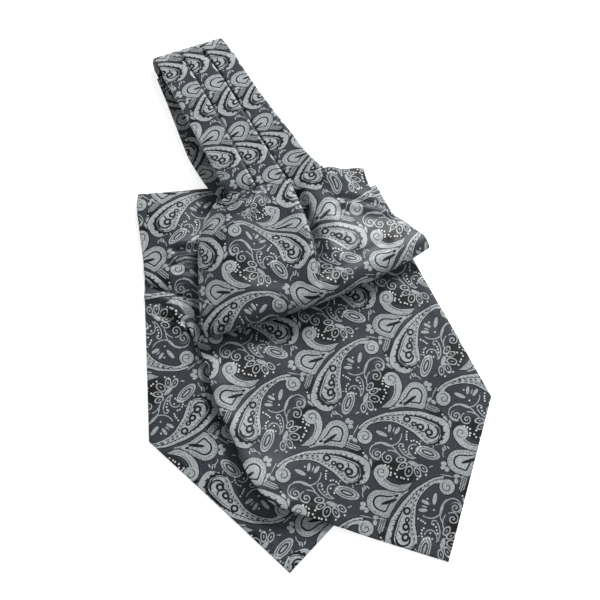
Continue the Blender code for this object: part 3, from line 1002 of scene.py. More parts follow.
@dataclass
class Puff(Stretch):
    """Front blade's upper stretch, puffed up below the neckband and rolled under at its lower fold."""

    flat: Frame = FRONT
    lie: Lie = Lie.FOLDED
    cut: Pair = (150.0, 108.0)
    cut_area: Optional[float] = 14200.0
    rests_on: Sequence[str] = ("folded_layers_silk", "front_blade_end_silk")
    thickness: float = 1.1
    # Upper edge and lower fold, as along over across.
    top_at: float = -61.2
    top_slope: float = 0.16
    end_at: float = 21.6
    end_middle: float = 12.0
    end_bow: float = 0.0014
    # Section of the two panels, in shares of their width.
    rise_share: float = 0.42
    rise_curve: float = 2.2
    ridge_share: float = 0.945
    ridge_at: float = 0.91
    ridge_width: float = 0.07
    overhang_width: float = 0.045
    panel_share: float = 0.17
    panel_curve: float = 1.5
    # Roll at the lower fold and the cloth turned under it.
    roll_share: float = 0.9
    roll_tuck: float = 4.5
    roll_rows: int = 16
    roll_middle: float = 0.42
    under_z: float = 8.6
    under_back: float = 12.0
    under_rows: int = 5
    # Widths and length to space out; a crowded run is its first and last share and its count.
    left_width: float = 72.0
    right_width: float = 66.0
    length: float = 74.0
    spacing: Pair = (1.5, 1.35)
    crowd_left: Run = (0.86, 1.0, 15)
    crowd_right: Run = (0.0, 0.1, 6)
    crowd_gap: Pair = (0.855, 0.11)
    # Where the slack waves, the pleats' foot, the tuck's lip and the right shoulder start and end.
    wave: float = 0.35
    fade_in: Pair = (0.0, 0.07)
    fade_out: Pair = (0.86, 0.97)
    foot_join: Pair = (0.0, 0.2)
    lip_across: Pair = (-10.5, -4.5)
    lip_dip: float = 5.0
    lip_share: Pair = (0.0, 0.045)
    shoulder_across: Pair = (38.0, 50.0)
    # How the pleats' maps run into the panels' maps, and these into each other at the trough.
    map_joins: Sequence[Pair] = ((0.1, 0.3), (0.0, 0.17))
    map_lip: Pair = (-7.0, -1.5)
    map_meet: Pair = (0.62, 0.92)
    map_meet_width: float = 17.0
    map_rows: float = -4.0
    map_slip: float = 0.7
    rows: Sequence[PuffRow] = (
        PuffRow(0.00, -30.0, 15.0, 64.0, 21.0, 24.6, 21.0, 23.6, 12.5, 0.3, 0.4),
        PuffRow(0.12, -43.0, 14.5, 62.0, 16.5, 26.2, 17.5, 22.8, 12.5, 0.8, 1.4),
        PuffRow(0.30, -53.5, 13.2, 61.5, 14.5, 26.8, 13.6, 21.0, 12.5, 1.3, 2.6),
        PuffRow(0.50, -60.5, 11.0, 64.0, 14.0, 26.6, 12.4, 20.2, 12.5, 1.4, 2.8),
        PuffRow(0.66, -65.2, 8.6, 70.0, 14.4, 26.2, 14.6, 20.6, 13.2, 1.0, 1.6),
        PuffRow(0.80, -69.4, 5.6, 74.2, 14.6, 25.2, 19.0, 20.8, 13.9, 0.4, 0.4),
        PuffRow(0.90, -72.3, 3.0, 76.6, 14.6, 23.8, 22.4, 20.6, 14.2, 0.0, 0.0),
        PuffRow(1.00, -74.0, 0.0, 75.5, 12.8, 16.6, 16.2, 15.6, 12.4, 0.0, 0.0),
    )
    creases: Sequence[Crease] = (
        Crease(40.0, -31.0, 66.0, -14.0, 3.4, 2.6, 1.6),
        Crease(38.0, -36.0, 62.0, -21.5, 2.8, -2.4),
        Crease(-34.0, -63.0, -9.0, -61.5, 2.4, 1.6, 1.6),
        Crease(-30.0, -57.0, -11.0, -57.5, 2.0, -2.2),
        Crease(-31.0, -54.0, -15.0, -52.5, 2.6, 1.2, 1.6),
        Crease(-36.0, -50.0, -18.0, -47.0, 3.0, -0.8),
        Crease(-48.0, -8.0, -20.0, 16.0, 8.0, 1.0),
        Crease(-30.0, -6.0, -8.0, 12.0, 5.0, -0.7),
        Crease(-52.0, -30.0, -40.0, -4.0, 7.0, 0.6),
        Crease(57.0, 10.0, 6.0, 17.0, 3.2, 1.1, 1.6),
        Crease(50.0, 4.0, 12.0, 9.0, 4.0, -0.8),
        Crease(26.0, -40.0, 30.0, -14.0, 6.0, 0.8),
        Crease(18.0, -18.0, 32.0, 4.0, 4.0, -0.6),
        Crease(70.0, -6.0, 58.0, 4.0, 4.0, 0.9),
    )

    def top(self, across: Array) -> Array:
        """Give the along of the upper edge, where the neckband runs into it."""
        return self.top_at + self.top_slope * across

    def end(self, across: Array) -> Array:
        """Give the along of the lower fold."""
        return self.end_at - self.end_bow * (across - self.end_middle) ** 2

    def row(self, name: str, share: Array) -> Array:
        """Read one column of the puff's table."""
        return read(self.rows, "share", name, share)

    def panel(self, left_panel: bool, part: Array, share: Array) -> tuple[Array, Array, Array]:
        """Give across, along and height of one panel above its lower roll.

        Args:
            left_panel: whether it is the left one.
            part: shares of the panel's width.
            share: shares of the puff's length.

        Returns:
            Three arrays, one value for each place.
        """
        left, trough, right = read_all(self.rows, "share", ("left", "trough", "right"), share)
        if left_panel:
            across = left + (trough - left) * part
            climb = 1.0 - (1.0 - clamp(part / self.rise_share)) ** self.rise_curve
            z = self.row("left_z", share) + (self.row("crown_z", share) - self.row("left_z", share)) * climb
            z = z + self.row("ridge", share) * np.exp(-((part - self.ridge_at) / self.ridge_width) ** 2)
            drop = ease((part - self.ridge_share) / (1.0 - self.ridge_share))
            z = z + (self.row("trough_z", share) - z) * drop
            lean = np.exp(-((part - self.ridge_share) / self.overhang_width) ** 2)
            across = across + self.row("overhang", share) * lean
        else:
            across = trough + (right - trough) * part
            z = self.row("trough_z", share)
            z = z + (self.row("panel_z", share) - z) * ease(part / self.panel_share)
            fall = clamp((part - self.panel_share) / (1.0 - self.panel_share))
            z = z + (self.row("right_z", share) - self.row("panel_z", share)) * fall ** self.panel_curve
        top, end = self.top(across), self.end(across)
        along = top + (end - top) * share
        fade = grow(share, self.fade_in) * (1.0 - grow(share, self.fade_out))
        z = z + (crease_height(self.creases, across, along) + slack(across, along, self.wave)) * fade
        return across, along, z

    def grid(self, left_parts: Array, right_parts: Array, band: "Neckband") -> tuple[Array, Array, Array]:
        """Work out the puff's middle from the neckband to its turned-under edge.

        Args:
            left_parts: shares of the left panel's width.
            right_parts: shares of the right panel's width.
            band: the neckband, whose pleats run into it.

        Returns:
            Across, along and height of each place.
        """
        shares = (cloth_spread(self.length, self.spacing[1], near=False, far=False) * self.roll_share)[:, None]
        sides = [self.panel(True, left_parts[None, :], shares), self.panel(False, right_parts[None, 1:], shares)]
        across, along, z = (np.concatenate([sides[0][i], sides[1][i]], axis=1) for i in range(3))
        join = 1.0 - grow(shares, self.foot_join)
        foot = band.foot_height(across, along)
        lip = 1.0 - grow(across, self.lip_across)
        inside = 1.0 - grow(across, self.shoulder_across)
        z = z + (foot - z) * join * (1.0 - lip) * inside
        z = z - lip * self.lip_dip * (1.0 - grow(shares, self.lip_share))
        level = z[-1:]
        finish = self.end(across[-1:])
        depth = finish - along[-1:]
        angles = np.linspace(0.0, math.pi, self.roll_rows + 1)[1:, None]
        middle = self.under_z + (level - self.under_z) * self.roll_middle
        out = np.where(angles <= math.pi / 2, np.sin(angles), 1.0)
        tuck = np.where(angles > math.pi / 2, (1.0 - np.sin(angles)) * self.roll_tuck, 0.0)
        roll_along = along[-1:] + depth * out - tuck
        upper, lower = middle + (level - middle) * np.cos(angles), middle + (middle - self.under_z) * np.cos(angles)
        roll_z = np.where(angles <= math.pi / 2, upper, lower)
        under = np.linspace(self.roll_tuck, self.under_back, self.under_rows + 1)[1:, None]
        under_along, under_z = finish - under, np.full_like(under, self.under_z) + 0.0 * finish
        spread = across[-1:] + 0.0 * angles
        across = np.concatenate([across, spread, across[-1:] + 0.0 * under])
        return across, np.concatenate([along, roll_along, under_along]), np.concatenate([z, roll_z, under_z])

    def puff(self, left_map: ClothMap, right_map: ClothMap, pleat_maps: Sequence[ClothMap], band: "Neckband",
             silk: "SilkFinish") -> Piece:
        """Puff the stretch up.

        Args:
            left_map: where the woven repeat lies on its left panel.
            right_map: where it lies on its right panel.
            pleat_maps: where it lies on the pleats, which run into the panels.
            band: the neckband, whose pleats run into it.
            silk: its finish.

        Returns:
            The finished piece.
        """
        left_parts = cloth_spread(self.left_width, self.spacing[0], far=False)
        left_parts = np.concatenate([left_parts[left_parts < self.crowd_gap[0]], np.linspace(*self.crowd_left)])
        right_parts = cloth_spread(self.right_width, self.spacing[0], near=False)
        right_parts = np.concatenate([np.linspace(*self.crowd_right), right_parts[right_parts > self.crowd_gap[1]]])
        across, along, z = self.grid(left_parts, right_parts, band)
        points = place(self.flat, across, along, z)
        seam = len(left_parts) - 1
        charts = [self.lay_flat(points, across, along, middle, cloth)
                  for middle, cloth in ((seam // 2, left_map), (seam + len(right_parts) // 2, right_map))]
        share = clamp((along - self.top(across)) / (self.end(across) - self.top(across)))
        off = np.abs(across - self.row("trough", share))
        near = 0.5 * grow(share, self.map_meet) * np.exp(-(off / self.map_meet_width) ** 2)
        gap = (charts[1] - charts[0]) * near[..., None]
        charts = [charts[0] + gap, charts[1] - gap]
        band_across, band_along = measure(band.flat, points[..., 0], points[..., 1])
        reaches = grow(across, self.map_lip), np.ones_like(across)
        for panel, (join, reach) in enumerate(zip(self.map_joins, reaches)):
            run_in = pleat_maps[panel + 1].read(band_across, band_along) + np.array(
                [(panel + 1) * REPEAT_ACROSS, self.map_rows * HALF_REPEAT])
            charts[panel] = charts[panel] + (run_in - charts[panel]) * ((1.0 - grow(share, join)) * reach)[..., None]
        return self.lay("front_blade_top", points, charts, silk, ("left", "right", "bottom"),
                        (np.arange(across.shape[1] - 1) >= seam).astype(int))

    def lay_flat(self, points: Array, across: Array, along: Array, middle: int, cloth: ClothMap) -> Array:
        """Read the repeat by distances along the cloth, so that it doesn't stretch where the cloth is steep.

        Args:
            points: the sheet's middle.
            across: its places across.
            along: its places along.
            middle: column whose places across are kept.
            cloth: where the repeat lies.

        Returns:
            Places of the repeat.
        """
        steps_a = np.linalg.norm(np.diff(points, axis=1), axis=2)
        run_a = np.concatenate([np.zeros((len(points), 1)), np.cumsum(steps_a, axis=1)], axis=1)
        steps_b = np.linalg.norm(np.diff(points, axis=0), axis=2)
        run_b = np.concatenate([np.zeros((1, points.shape[1])), np.cumsum(steps_b, axis=0)])
        keep = len(points) // 3
        laid_a = across[:, middle:middle + 1] + run_a - run_a[:, middle:middle + 1]
        laid_b = along[keep:keep + 1] + run_b - run_b[keep:keep + 1]
        return cloth.read(across + (laid_a - across) * self.map_slip, laid_b)


class BandRow(NamedTuple):
    """Edges, pleat lines and height of the neckband's front run at one distance along it."""

    along: float
    left: float
    pleat1: float
    pleat2: float
    right: float
    z: float


class RollStep(NamedTuple):
    """Point of a pleat's rolled edge: how far out and down it lies from the edge."""

    out: float
    down: float


class BackBandRow(NamedTuple):
    """Left edge and height of the neckband's under run at one distance along it."""

    along: float
    left: float
    z: float


@dataclass
class Neckband(Stretch):
    """Neckband of three pleats: front run, top fold and under run."""

    flat: Frame = BAND
    lie: Lie = Lie.FOLDED
    cut: Pair = (24.0, 108.0)
    rests_on: Sequence[str] = ("front_blade_top_silk", "band_turn_silk")
    thickness: float = 1.0
    fold_left: Pair = (-16.9, -192.0)
    fold_slope: float = 0.14
    # Front run: where its pleats start, how they tilt and overlap, and how their columns are crowded.
    pleat_start: float = 19.9
    pleat_rise: float = 0.1
    pleat_overlap: float = 4.0
    pleat_tilt: float = 1.9
    pleat_hinge: float = 0.6
    pleat_ends: Pair = (-172.0, -58.0)
    pleat_length: float = 100.0
    pleat_spacing: float = 1.5
    pleat_parts: Sequence[Run] = ((0.0, 0.4, 14), (0.4, 1.0, 12))
    pleat_foot: float = 0.4
    pleat_wave: float = 0.16
    pleat_settle: Pair = (0.8, 0.96)
    # Rolled edges, of which the last pleat's has fewer steps and the first one's left one goes deeper.
    roll: Sequence[RollStep] = (
        RollStep(0.35, 0.12),
        RollStep(0.62, 0.45),
        RollStep(0.66, 0.9),
        RollStep(0.4, 1.3),
        RollStep(-0.3, 1.6),
        RollStep(-1.4, 1.7),
    )
    last_roll: int = 4
    left_roll_deeper: float = 1.6
    # Groove beside a pleat's folded edge.
    groove_depth: float = 4.6
    groove_width: float = 0.55
    groove_reach: float = 1.7
    groove_loss: float = 0.6
    groove_fade: Pair = (0.93, 1.0)
    pleat_show: float = 0.35
    width: float = 49.5
    # Tuck where the left pleat runs into the puff.
    tuck_dip: float = 4.0
    tuck_shares: Pair = (0.9, 1.0)
    tuck_parts: Pair = (0.8, 1.0)
    tuck_longer: float = 3.5
    tuck_longer_parts: Pair = (0.72, 1.0)
    # Top fold: its shift to the left below, and from which row and height the front run's forms show on it.
    turn_shift: float = 2.6
    turn_shift_top: float = 6.0
    turn_parts: Sequence[Run] = ((0.0, 0.24, 8), (0.24, 1.0, 10))
    turn_upper: int = 9
    turn_over: int = 7
    turn_show: Pair = (6.0, 20.0)
    turn_step: Pair = (8.0, 12.0)
    turn_groove: Pair = (5.0, 12.0)
    turn_groove_from: float = 10.0
    turn_map_gap: float = 4.0
    # Under run.
    back_start: float = 12.6
    back_end: float = -66.0
    back_wave: float = 0.2
    back_loft: float = 0.1
    back_settle: float = 0.2
    back_length: float = 110.0
    back_spacing: Pair = (1.6, 1.8)
    rows: Sequence[BandRow] = (
        BandRow(-200.0, -15.6, 0.8, 15.2, 32.9, 10.4),
        BandRow(-172.0, -15.6, 0.6, 15.6, 32.6, 13.4),
        BandRow(-150.0, -15.8, 0.0, 16.0, 31.8, 16.2),
        BandRow(-128.0, -16.8, -0.6, 15.7, 31.9, 18.8),
        BandRow(-106.0, -17.8, -1.6, 15.4, 32.9, 21.2),
        BandRow(-86.0, -18.4, -2.6, 15.3, 34.4, 22.8),
        BandRow(-66.0, -19.0, -3.3, 15.6, 36.2, 23.6),
        BandRow(-50.0, -19.4, -3.8, 16.2, 41.0, 23.6),
    )
    turn_rows: Sequence[FoldRow] = (
        FoldRow(12.7, 0.9),
        FoldRow(7.0, 1.1),
        FoldRow(4.2, 1.5),
        FoldRow(2.6, 2.2),
        FoldRow(1.0, 3.4),
        FoldRow(0.3, 4.6),
        FoldRow(0.1, 6.0),
        FoldRow(0.6, 7.6),
        FoldRow(1.7, 9.0),
        FoldRow(3.6, 10.2),
        FoldRow(6.0, 11.2),
        FoldRow(9.0, 11.9),
        FoldRow(12.0, 12.5),
        FoldRow(14.5, 12.9),
        FoldRow(17.5, 13.4),
        FoldRow(20.4, 13.8),
    )
    back_rows: Sequence[BackBandRow] = (
        BackBandRow(-181.0, -19.0, 0.9),
        BackBandRow(-163.0, -21.0, 0.9),
        BackBandRow(-146.0, -23.2, 0.9),
        BackBandRow(-128.0, -25.6, 0.9),
        BackBandRow(-112.0, -27.4, 0.9),
        BackBandRow(-100.0, -27.4, 3.0),
        BackBandRow(-91.0, -27.4, 6.0),
        BackBandRow(-84.0, -26.6, 6.7),
        BackBandRow(-76.0, -23.7, 7.2),
        BackBandRow(-66.0, -21.5, 7.6),
    )
    pleats: Sequence[tuple[str, str, str, float]] = (
        ("band_pleat_left", "left", "pleat1", 25.2),
        ("band_pleat_middle", "pleat1", "pleat2", 29.0),
        ("band_pleat_right", "pleat2", "right", 28.7),
    )
    turn_cut: Pair = (50.0, 42.0)
    back_cut: Pair = (50.0, 112.0)

    def fold_line(self, across: Array) -> Array:
        """Give the along of the top fold."""
        return self.fold_left[1] + self.fold_slope * (across - self.fold_left[0])

    def foot(self, across: Array) -> Array:
        """Give the along where the front run meets the puff's upper edge.

        Args:
            across: distances across the band.

        Returns:
            The along at each of them.
        """
        shift = math.radians(self.flat.turn - FRONT.turn)
        slope = Puff.top_slope
        return (Puff.top_at + across * (slope * math.cos(shift) + math.sin(shift))) / (
            math.cos(shift) - slope * math.sin(shift))

    def pleat_height(self, across: Array, along: Array, fade: Array) -> Array:
        """Give the height of the front run's pleats, each higher towards its right edge.

        Args:
            across: distances across the band.
            along: distances along it.
            fade: share of the pleats' tilt that shows.

        Returns:
            The heights.
        """
        lines = read_all(self.rows, "along", ("left", "pleat1", "pleat2", "right"), along)
        pick = (across > lines[1]).astype(int) + (across > lines[2]).astype(int)
        edge = np.choose(pick, lines[:3])
        tilt = self.pleat_tilt * ((across - edge + self.pleat_overlap) / (self.width / 3) - self.pleat_hinge)
        return read(self.rows, "along", "z", along) + tilt * fade

    def crowd(self, runs: Sequence[Run]) -> Array:
        """Space out a pleat's columns in two runs, closer in the first one."""
        return np.concatenate([np.linspace(*runs[0]), np.linspace(*runs[1])[1:]])

    def groove(self, past: Array) -> Array:
        """Give the depth of the groove beside a pleat's folded edge, by the distance past that edge."""
        return self.groove_depth * np.exp(-(np.maximum(past - self.groove_reach, 0.0) / self.groove_width) ** 2)

    def foot_height(self, across: Array, along: Array) -> Array:
        """Give the front run's height at places in the front blade's frame.

        Args:
            across: distances across the front blade.
            along: distances along it.

        Returns:
            The heights.
        """
        spot = place(FRONT, across, along, 0.0)
        own_across, own_along = measure(self.flat, spot[..., 0], spot[..., 1])
        return self.pleat_height(own_across, own_along, np.ones_like(own_across))

    def pleat(self, index: int, repeat: ClothMap, silk: "SilkFinish") -> Piece:
        """Lay one pleat; its right edge is a rounded fold over its neighbour, and its left one lies under another.

        Args:
            index: which pleat, from the left.
            repeat: where the woven repeat lies on it.
            silk: its finish.

        Returns:
            The finished piece.
        """
        node, left_column, right_column, cut_width = self.pleats[index]
        shares = cloth_spread(self.pleat_length, self.pleat_spacing, near=False, far=False)[:, None]
        parts = self.crowd(self.pleat_parts)[None, :]
        ends = []
        for at in self.pleat_ends:
            left, right = read_all(self.rows, "along", (left_column, right_column), at)
            ends.append(left + parts * (right - left))
        begin, finish = self.fold_line(ends[0]) + self.pleat_start, self.foot(ends[1]) - self.pleat_foot
        if index == 0:
            finish = finish + self.tuck_longer * (1.0 - grow(parts, self.tuck_longer_parts))
        along = begin + (finish - begin) * shares
        rise = grow(shares, (0.0, self.pleat_rise))
        edge, right = read_all(self.rows, "along", (left_column, right_column), along)
        lap = self.pleat_overlap if index else 0.0
        across = edge - lap + (right - edge + lap) * parts
        tilt = self.pleat_tilt * ((across - edge + self.pleat_overlap) / (self.width / 3) - self.pleat_hinge)
        z = read(self.rows, "along", "z", along) + tilt * (self.pleat_show + (1.0 - self.pleat_show) * rise)
        z = z + slack(across, along, self.pleat_wave) * rise * (1.0 - grow(shares, self.pleat_settle))
        if index:
            z = z - self.groove(across - edge) * (1.0 - self.groove_loss * grow(shares, self.groove_fade))
        else:
            z = z - self.tuck_dip * grow(shares, self.tuck_shares) * (1.0 - grow(parts, self.tuck_parts))
        right_roll = self.roll[:self.last_roll] if node == self.pleats[-1][0] else self.roll
        columns = [(across[:, -1:] + step.out, along[:, -1:], z[:, -1:] - step.down, across[:, -1:] + step.down)
                   for step in right_roll]
        columns.insert(0, (across, along, z, across))
        for step in self.roll if index == 0 else ():
            columns.insert(0, (across[:, :1] - step.out, along[:, :1], z[:, :1] - self.left_roll_deeper * step.down,
                               across[:, :1] - step.down))
        across, along, z, laid = (np.concatenate(piece, axis=1) for piece in zip(*columns))
        return self.lay(node, place(self.flat, across, along, z), [repeat.read(laid, along)], silk,
                        ("left", "right"), cut=(cut_width, self.cut[1]))

    def turn(self, repeats: Sequence[ClothMap], silk: "SilkFinish") -> Piece:
        """Turn the band over at its top fold.

        Args:
            repeats: where the woven repeat lies on each pleat.
            silk: its finish.

        Returns:
            The finished piece.
        """
        first = self.rows[1]
        lines = (first.left, first.pleat1, first.pleat2, first.right)
        crowded = self.crowd(self.turn_parts)
        spaces = [a + (b - a) * crowded for a, b in zip(lines, lines[1:])]
        across = np.concatenate([spaces[0][:1], *(space[1:] for space in spaces)])[None, :]
        back, low = column(self.turn_rows, "back")[:, None], column(self.turn_rows, "z")[:, None]
        under = clamp(1.0 - low / self.turn_shift_top)
        spread = across - self.turn_shift * under
        along = self.fold_line(spread) + back
        row = np.arange(len(back))[:, None]
        level = read(self.rows, "along", "z", along)
        z = low + (level - low) * grow(back, self.turn_show) * (row >= self.turn_upper)
        step = self.pleat_height(spread, along, np.ones_like(spread)) - level
        z = z + self.pleat_show * step * grow(low, self.turn_step)
        for line in ("pleat1", "pleat2"):
            past = spread - read(self.rows, "along", line, along)
            depth = np.where(past >= 0.0, self.groove(past), 0.0) * grow(back, self.turn_groove)
            z = z - depth * (low > self.turn_groove_from)
        laid = self.fold_line(across) + np.where(row >= self.turn_over, back, -back - self.turn_map_gap)
        sections = np.repeat(np.arange(len(spaces)), len(crowded) - 1)
        return self.lay("band_turn", place(self.flat, spread, along, z),
                        [repeat.read(across + 0.0 * laid, laid) for repeat in repeats], silk, ("left", "right"),
                        sections, self.turn_cut, ("floor", "band_back_silk"))

    def under_run(self, repeat: ClothMap, silk: "SilkFinish") -> Piece:
        """Lay the under run on the surface and up over the turned blade.

        Args:
            repeat: where the woven repeat lies on it.
            silk: its finish.

        Returns:
            The finished piece.
        """
        parts = cloth_spread(self.width, self.back_spacing[0])[None, :]
        shares = cloth_spread(self.back_length, self.back_spacing[1], near=False)[:, None]
        begin = self.fold_line(self.back_rows[0].left + self.width * parts) + self.back_start
        along = begin + (self.back_end - begin) * shares
        left, z = read_all(self.back_rows, "along", ("left", "z"), along)
        across = left + self.width * parts
        z = z + (slack(across, along, self.back_wave) + self.back_loft) * grow(shares, (0.0, self.back_settle))
        return self.lay_end("band_back", across, along, z, repeat, silk, self.back_cut,
                            ("floor", "back_blade_turn_silk"))


class Wire:
    """Value that runs from one shader node to the next, with ordinary arithmetic."""

    def __init__(self, tree: bpy.types.NodeTree, socket: bpy.types.NodeSocket) -> None:
        """Wrap an output socket of a node tree."""
        self.tree = tree
        self.socket = socket

    def math(self, operation: str, *others: "Wire | float", limit: bool = False) -> "Wire":
        """Feed this value and others into one math node.

        Args:
            operation: the node's operation.
            others: its second and third value.
            limit: whether its result is kept between 0 and 1.

        Returns:
            The node's result.
        """
        node = self.tree.nodes.new("ShaderNodeMath")
        node.operation = operation
        node.use_clamp = limit
        for socket, value in zip(node.inputs, (self, *others)):
            if isinstance(value, Wire):
                self.tree.links.new(value.socket, socket)
            else:
                socket.default_value = value
        return Wire(self.tree, node.outputs[0])

    def __add__(self, other: "Wire | float") -> "Wire":
        """Add."""
        return self.math("ADD", other)

    def __sub__(self, other: "Wire | float") -> "Wire":
        """Take away."""
        return self.math("SUBTRACT", other)

    def __mul__(self, other: "Wire | float") -> "Wire":
        """Multiply."""
        return self.math("MULTIPLY", other)

    def times_plus(self, factor: "Wire | float", plus: "Wire | float") -> "Wire":
        """Multiply and add in one node."""
        return self.math("MULTIPLY_ADD", factor, plus)

    def either(self, other: "Wire") -> "Wire":
        """Join two masks."""
        return self.math("MAXIMUM", other)

    def both(self, other: "Wire") -> "Wire":
        """Keep what two masks share."""
        return self.math("MINIMUM", other)

    def without(self, other: "Wire") -> "Wire":
        """Cut another mask out of this one."""
        return self.math("SUBTRACT", other, limit=True)

    def below(self, edge: "Wire | float") -> "Wire":
        """Give a mask that is 1 where this value is under an edge."""
        return self.math("LESS_THAN", edge)

    def above(self, edge: "Wire | float") -> "Wire":
        """Give a mask that is 1 where this value is over an edge."""
        return self.math("GREATER_THAN", edge)

    def near(self, middle: "Wire | float", half_width: "Wire | float") -> "Wire":
        """Give a mask that is 1 where this value is close to another."""
        return self.math("COMPARE", middle, half_width)

    def vector(self, operation: str, other: Triple = (0.0, 0.0, 0.0)) -> "Wire":
        """Measure this place with one vector node.

        Args:
            operation: the node's operation, which gives a single value.
            other: the place that it works with.

        Returns:
            The value.
        """
        node = self.tree.nodes.new("ShaderNodeVectorMath")
        node.operation = operation
        self.tree.links.new(self.socket, node.inputs[0])
        node.inputs[1].default_value = other
        return Wire(self.tree, node.outputs["Value"])

    def moved(self, across: float, along: float, turn: float, size: Pair = (1.0, 1.0)) -> "Wire":
        """See this place from another centre.

        Args:
            across: the centre's across.
            along: its along.
            turn: degrees from the across direction towards the along.
            size: unit lengths there.

        Returns:
            The place, seen from there.
        """
        node = self.tree.nodes.new("ShaderNodeMapping")
        node.vector_type = "TEXTURE"
        node.inputs["Location"].default_value = (across, along, 0.0)
        node.inputs["Rotation"].default_value = (0.0, 0.0, math.radians(turn))
        node.inputs["Scale"].default_value = (*size, 1.0)
        self.tree.links.new(self.socket, node.inputs["Vector"])
        return Wire(self.tree, node.outputs["Vector"])

    def parts(self) -> tuple["Wire", "Wire"]:
        """Split a place into its across and its along.

        Returns:
            The two values.
        """
        node = self.tree.nodes.new("ShaderNodeSeparateXYZ")
        self.tree.links.new(self.socket, node.inputs["Vector"])
        return Wire(self.tree, node.outputs["X"]), Wire(self.tree, node.outputs["Y"])

    def curve(self, dial: "Dial", table: Sequence[Pair]) -> "Wire":
        """Look this value up on a smooth curve.

        Args:
            dial: range of values and largest result that the curve holds.
            table: pairs of a value and its result.

        Returns:
            The result.
        """
        low, high, most = dial
        node = self.tree.nodes.new("ShaderNodeFloatCurve")
        line = node.mapping.curves[0]
        spots = [((a - low) / (high - low), b / most) for a, b in sorted(table)]
        line.points[0].location, line.points[1].location = spots[0], spots[-1]
        for spot in spots[1:-1]:
            line.points.new(*spot)
        node.mapping.update()
        share = self.math("MULTIPLY_ADD", 1.0 / (high - low), -low / (high - low), limit=True)
        self.tree.links.new(share.socket, node.inputs["Value"])
        return Wire(self.tree, node.outputs[0]) * most


class Drawing:
    """Shader node group that is drawn over the flat cloth, in millimetres."""

    def __init__(self, name: str) -> None:
        """Start the group with the place of the cloth as its two inputs.

        Args:
            name: name of the group.
        """
        self.tree = bpy.data.node_groups.new(name, "ShaderNodeTree")
        for label in ("Across", "Along"):
            self.tree.interface.new_socket(label, in_out="INPUT", socket_type="NodeSocketFloat")
        entry = self.tree.nodes.new("NodeGroupInput")
        self.across, self.along = (Wire(self.tree, entry.outputs[label]) for label in ("Across", "Along"))

    def put_out(self, results: dict[str, Wire]) -> bpy.types.NodeTree:
        """Give the group its outputs.

        Args:
            results: the value of each output, by its label.

        Returns:
            The finished group.
        """
        for label in results:
            self.tree.interface.new_socket(label, in_out="OUTPUT", socket_type="NodeSocketFloat")
        leave = self.tree.nodes.new("NodeGroupOutput")
        for label, wire in results.items():
            self.tree.links.new(wire.socket, leave.inputs[label])
        return self.tree


class Dial(NamedTuple):
    """Range of angles that a curve covers, and the largest radius that it holds."""

    first: float
    last: float
    most: float


class Polar(NamedTuple):
    """Distance from a centre, and angle round it in degrees from the across direction towards the along."""

    radius: Wire
    angle: Wire


class Oval(NamedTuple):
    """Leaf, petal or dot: its centre, half sizes and turn; a hollow one is only an outline."""

    across: float
    along: float
    long_half: float
    wide_half: float
    turn: float
    hollow: float = 0.0


class Spot(NamedTuple):
    """Place on the repeat: as two values, and as one vector."""

    across: Wire
    along: Wire
    place: Wire

    def polar(self, across: float, along: float, turn: float = 0.0) -> Polar:
        """Measure from a centre.

        Args:
            across: the centre's across.
            along: its along.
            turn: direction from which the angle is counted, in degrees.

        Returns:
            The distance and the angle.
        """
        moved = self.place.moved(across, along, turn)
        x, y = moved.parts()
        return Polar(moved.vector("LENGTH"), y.math("ARCTAN2", x) * math.degrees(1.0))

    def oval(self, row: Oval) -> Wire:
        """Measure from an oval's centre, so that its edge is at 1."""
        return self.place.moved(row.across, row.along, row.turn, (row.long_half, row.wide_half)).vector("LENGTH")


class Arc(NamedTuple):
    """Thin curve on a circle, from one angle to another in degrees; a dotted one has a space between dots."""

    across: float
    along: float
    radius: float
    first: float
    last: float
    half_width: float
    dots: float = 0.0


class Scroll(NamedTuple):
    """Small spiral of a thin line."""

    across: float
    along: float
    radius: float
    pitch: float
    hand: float


